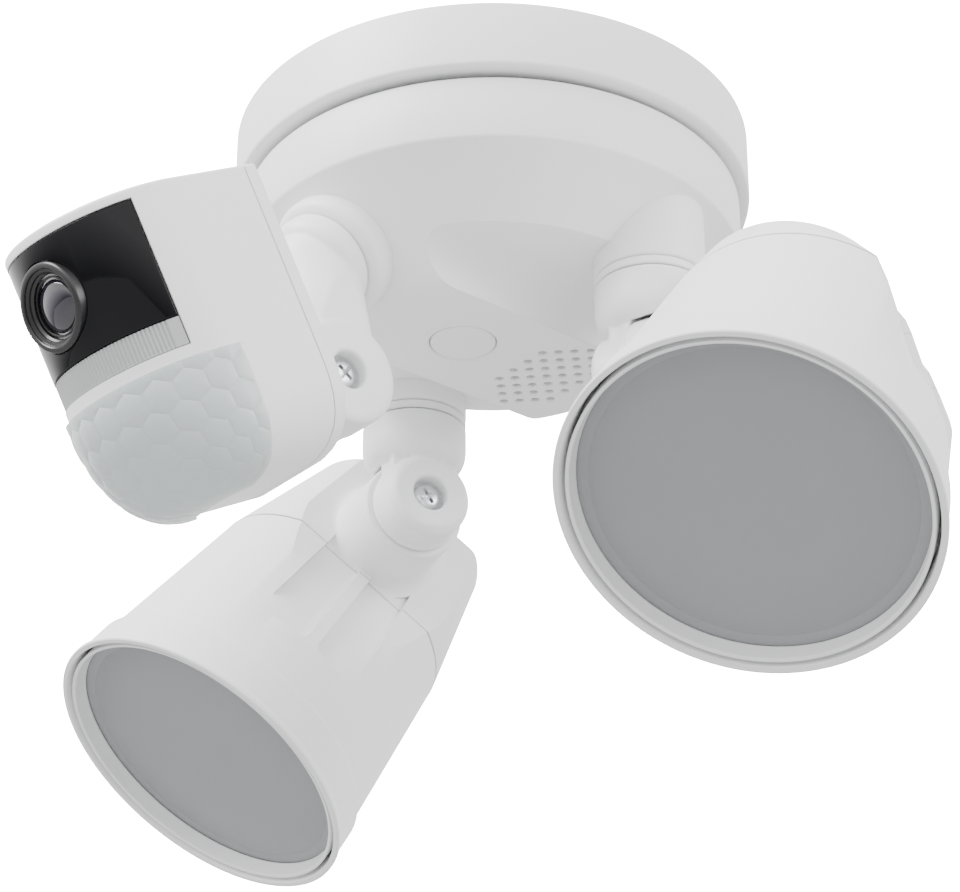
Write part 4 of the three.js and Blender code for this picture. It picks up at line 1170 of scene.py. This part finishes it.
class FLOODLIGHT_OT_canopy(bpy.types.Operator):
    """Model the canopy against the ceiling and its gasket"""

    bl_idname = "floodlight.canopy"
    bl_label = "Canopy"

    def execute(self, context):
        make_canopy()
        return {"FINISHED"}


class FLOODLIGHT_OT_housing(bpy.types.Operator):
    """Model the housing with its scoops, bosses and grille"""

    bl_idname = "floodlight.housing"
    bl_label = "Housing"

    def execute(self, context):
        make_housing()
        return {"FINISHED"}


class FLOODLIGHT_OT_button(bpy.types.Operator):
    """Model the round push button"""

    bl_idname = "floodlight.button"
    bl_label = "Button"

    def execute(self, context):
        make_button()
        return {"FINISHED"}


class FLOODLIGHT_OT_arms(bpy.types.Operator):
    """Model both lamp arms and their seals"""

    bl_idname = "floodlight.arms"
    bl_label = "Lamp arms"

    def execute(self, context):
        make_arms()
        return {"FINISHED"}


class FLOODLIGHT_OT_screws(bpy.types.Operator):
    """Model the three clamp screws"""

    bl_idname = "floodlight.screws"
    bl_label = "Clamp screws"

    def execute(self, context):
        make_screws()
        return {"FINISHED"}


class FLOODLIGHT_OT_lamps(bpy.types.Operator):
    """Model both lamp heads"""

    bl_idname = "floodlight.lamps"
    bl_label = "Lamp heads"

    def execute(self, context):
        make_lamps()
        return {"FINISHED"}


class FLOODLIGHT_OT_elbow(bpy.types.Operator):
    """Model the camera's elbow"""

    bl_idname = "floodlight.elbow"
    bl_label = "Camera elbow"

    def execute(self, context):
        make_elbow()
        return {"FINISHED"}


class FLOODLIGHT_OT_camera_body(bpy.types.Operator):
    """Model the camera's shell and its rear cover"""

    bl_idname = "floodlight.camera_body"
    bl_label = "Camera body"

    def execute(self, context):
        make_camera_body()
        return {"FINISHED"}


class FLOODLIGHT_OT_camera_front(bpy.types.Operator):
    """Model the camera's window and ribbed strip"""

    bl_idname = "floodlight.camera_front"
    bl_label = "Camera window and strip"

    def execute(self, context):
        make_camera_front()
        return {"FINISHED"}


class FLOODLIGHT_OT_motion_lens(bpy.types.Operator):
    """Model the motion sensor's dimpled lens"""

    bl_idname = "floodlight.motion_lens"
    bl_label = "Motion lens"

    def execute(self, context):
        make_motion_lens()
        return {"FINISHED"}


class FLOODLIGHT_OT_camera_lens(bpy.types.Operator):
    """Model the camera lens and its bezel"""

    bl_idname = "floodlight.camera_lens"
    bl_label = "Camera lens"

    def execute(self, context):
        make_camera_lens()
        return {"FINISHED"}


GROUPS = (BaseSizes, ArmSizes, LampSizes, CameraSizes, FinishColours, StudioSettings, FloodlightSettings)
OPERATORS = (
    FLOODLIGHT_OT_finishes, FLOODLIGHT_OT_studio, FLOODLIGHT_OT_canopy, FLOODLIGHT_OT_housing,
    FLOODLIGHT_OT_button, FLOODLIGHT_OT_arms, FLOODLIGHT_OT_screws, FLOODLIGHT_OT_lamps, FLOODLIGHT_OT_elbow,
    FLOODLIGHT_OT_camera_body, FLOODLIGHT_OT_camera_front, FLOODLIGHT_OT_motion_lens, FLOODLIGHT_OT_camera_lens,
)


class FLOODLIGHT_PT_pieces(bpy.types.Panel):
    """Lists the floodlight's pieces"""

    bl_idname = "FLOODLIGHT_PT_pieces"
    bl_label = "Floodlight camera"
    bl_space_type = "VIEW_3D"
    bl_region_type = "UI"
    bl_category = "Floodlight"

    def draw(self, context):
        for operator in OPERATORS:
            self.layout.operator(operator.bl_idname)


def register():
    for item in GROUPS + OPERATORS + (FLOODLIGHT_PT_pieces,):
        bpy.utils.register_class(item)
    bpy.types.Scene.floodlight = PointerProperty(type=FloodlightSettings)


def unregister():
    del bpy.types.Scene.floodlight
    for item in reversed(GROUPS + OPERATORS + (FLOODLIGHT_PT_pieces,)):
        bpy.utils.unregister_class(item)


def main():
    register()
    for operator in OPERATORS:
        group, name = operator.bl_idname.split(".")
        getattr(getattr(bpy.ops, group), name)()


if __name__ == "__main__":
    main()
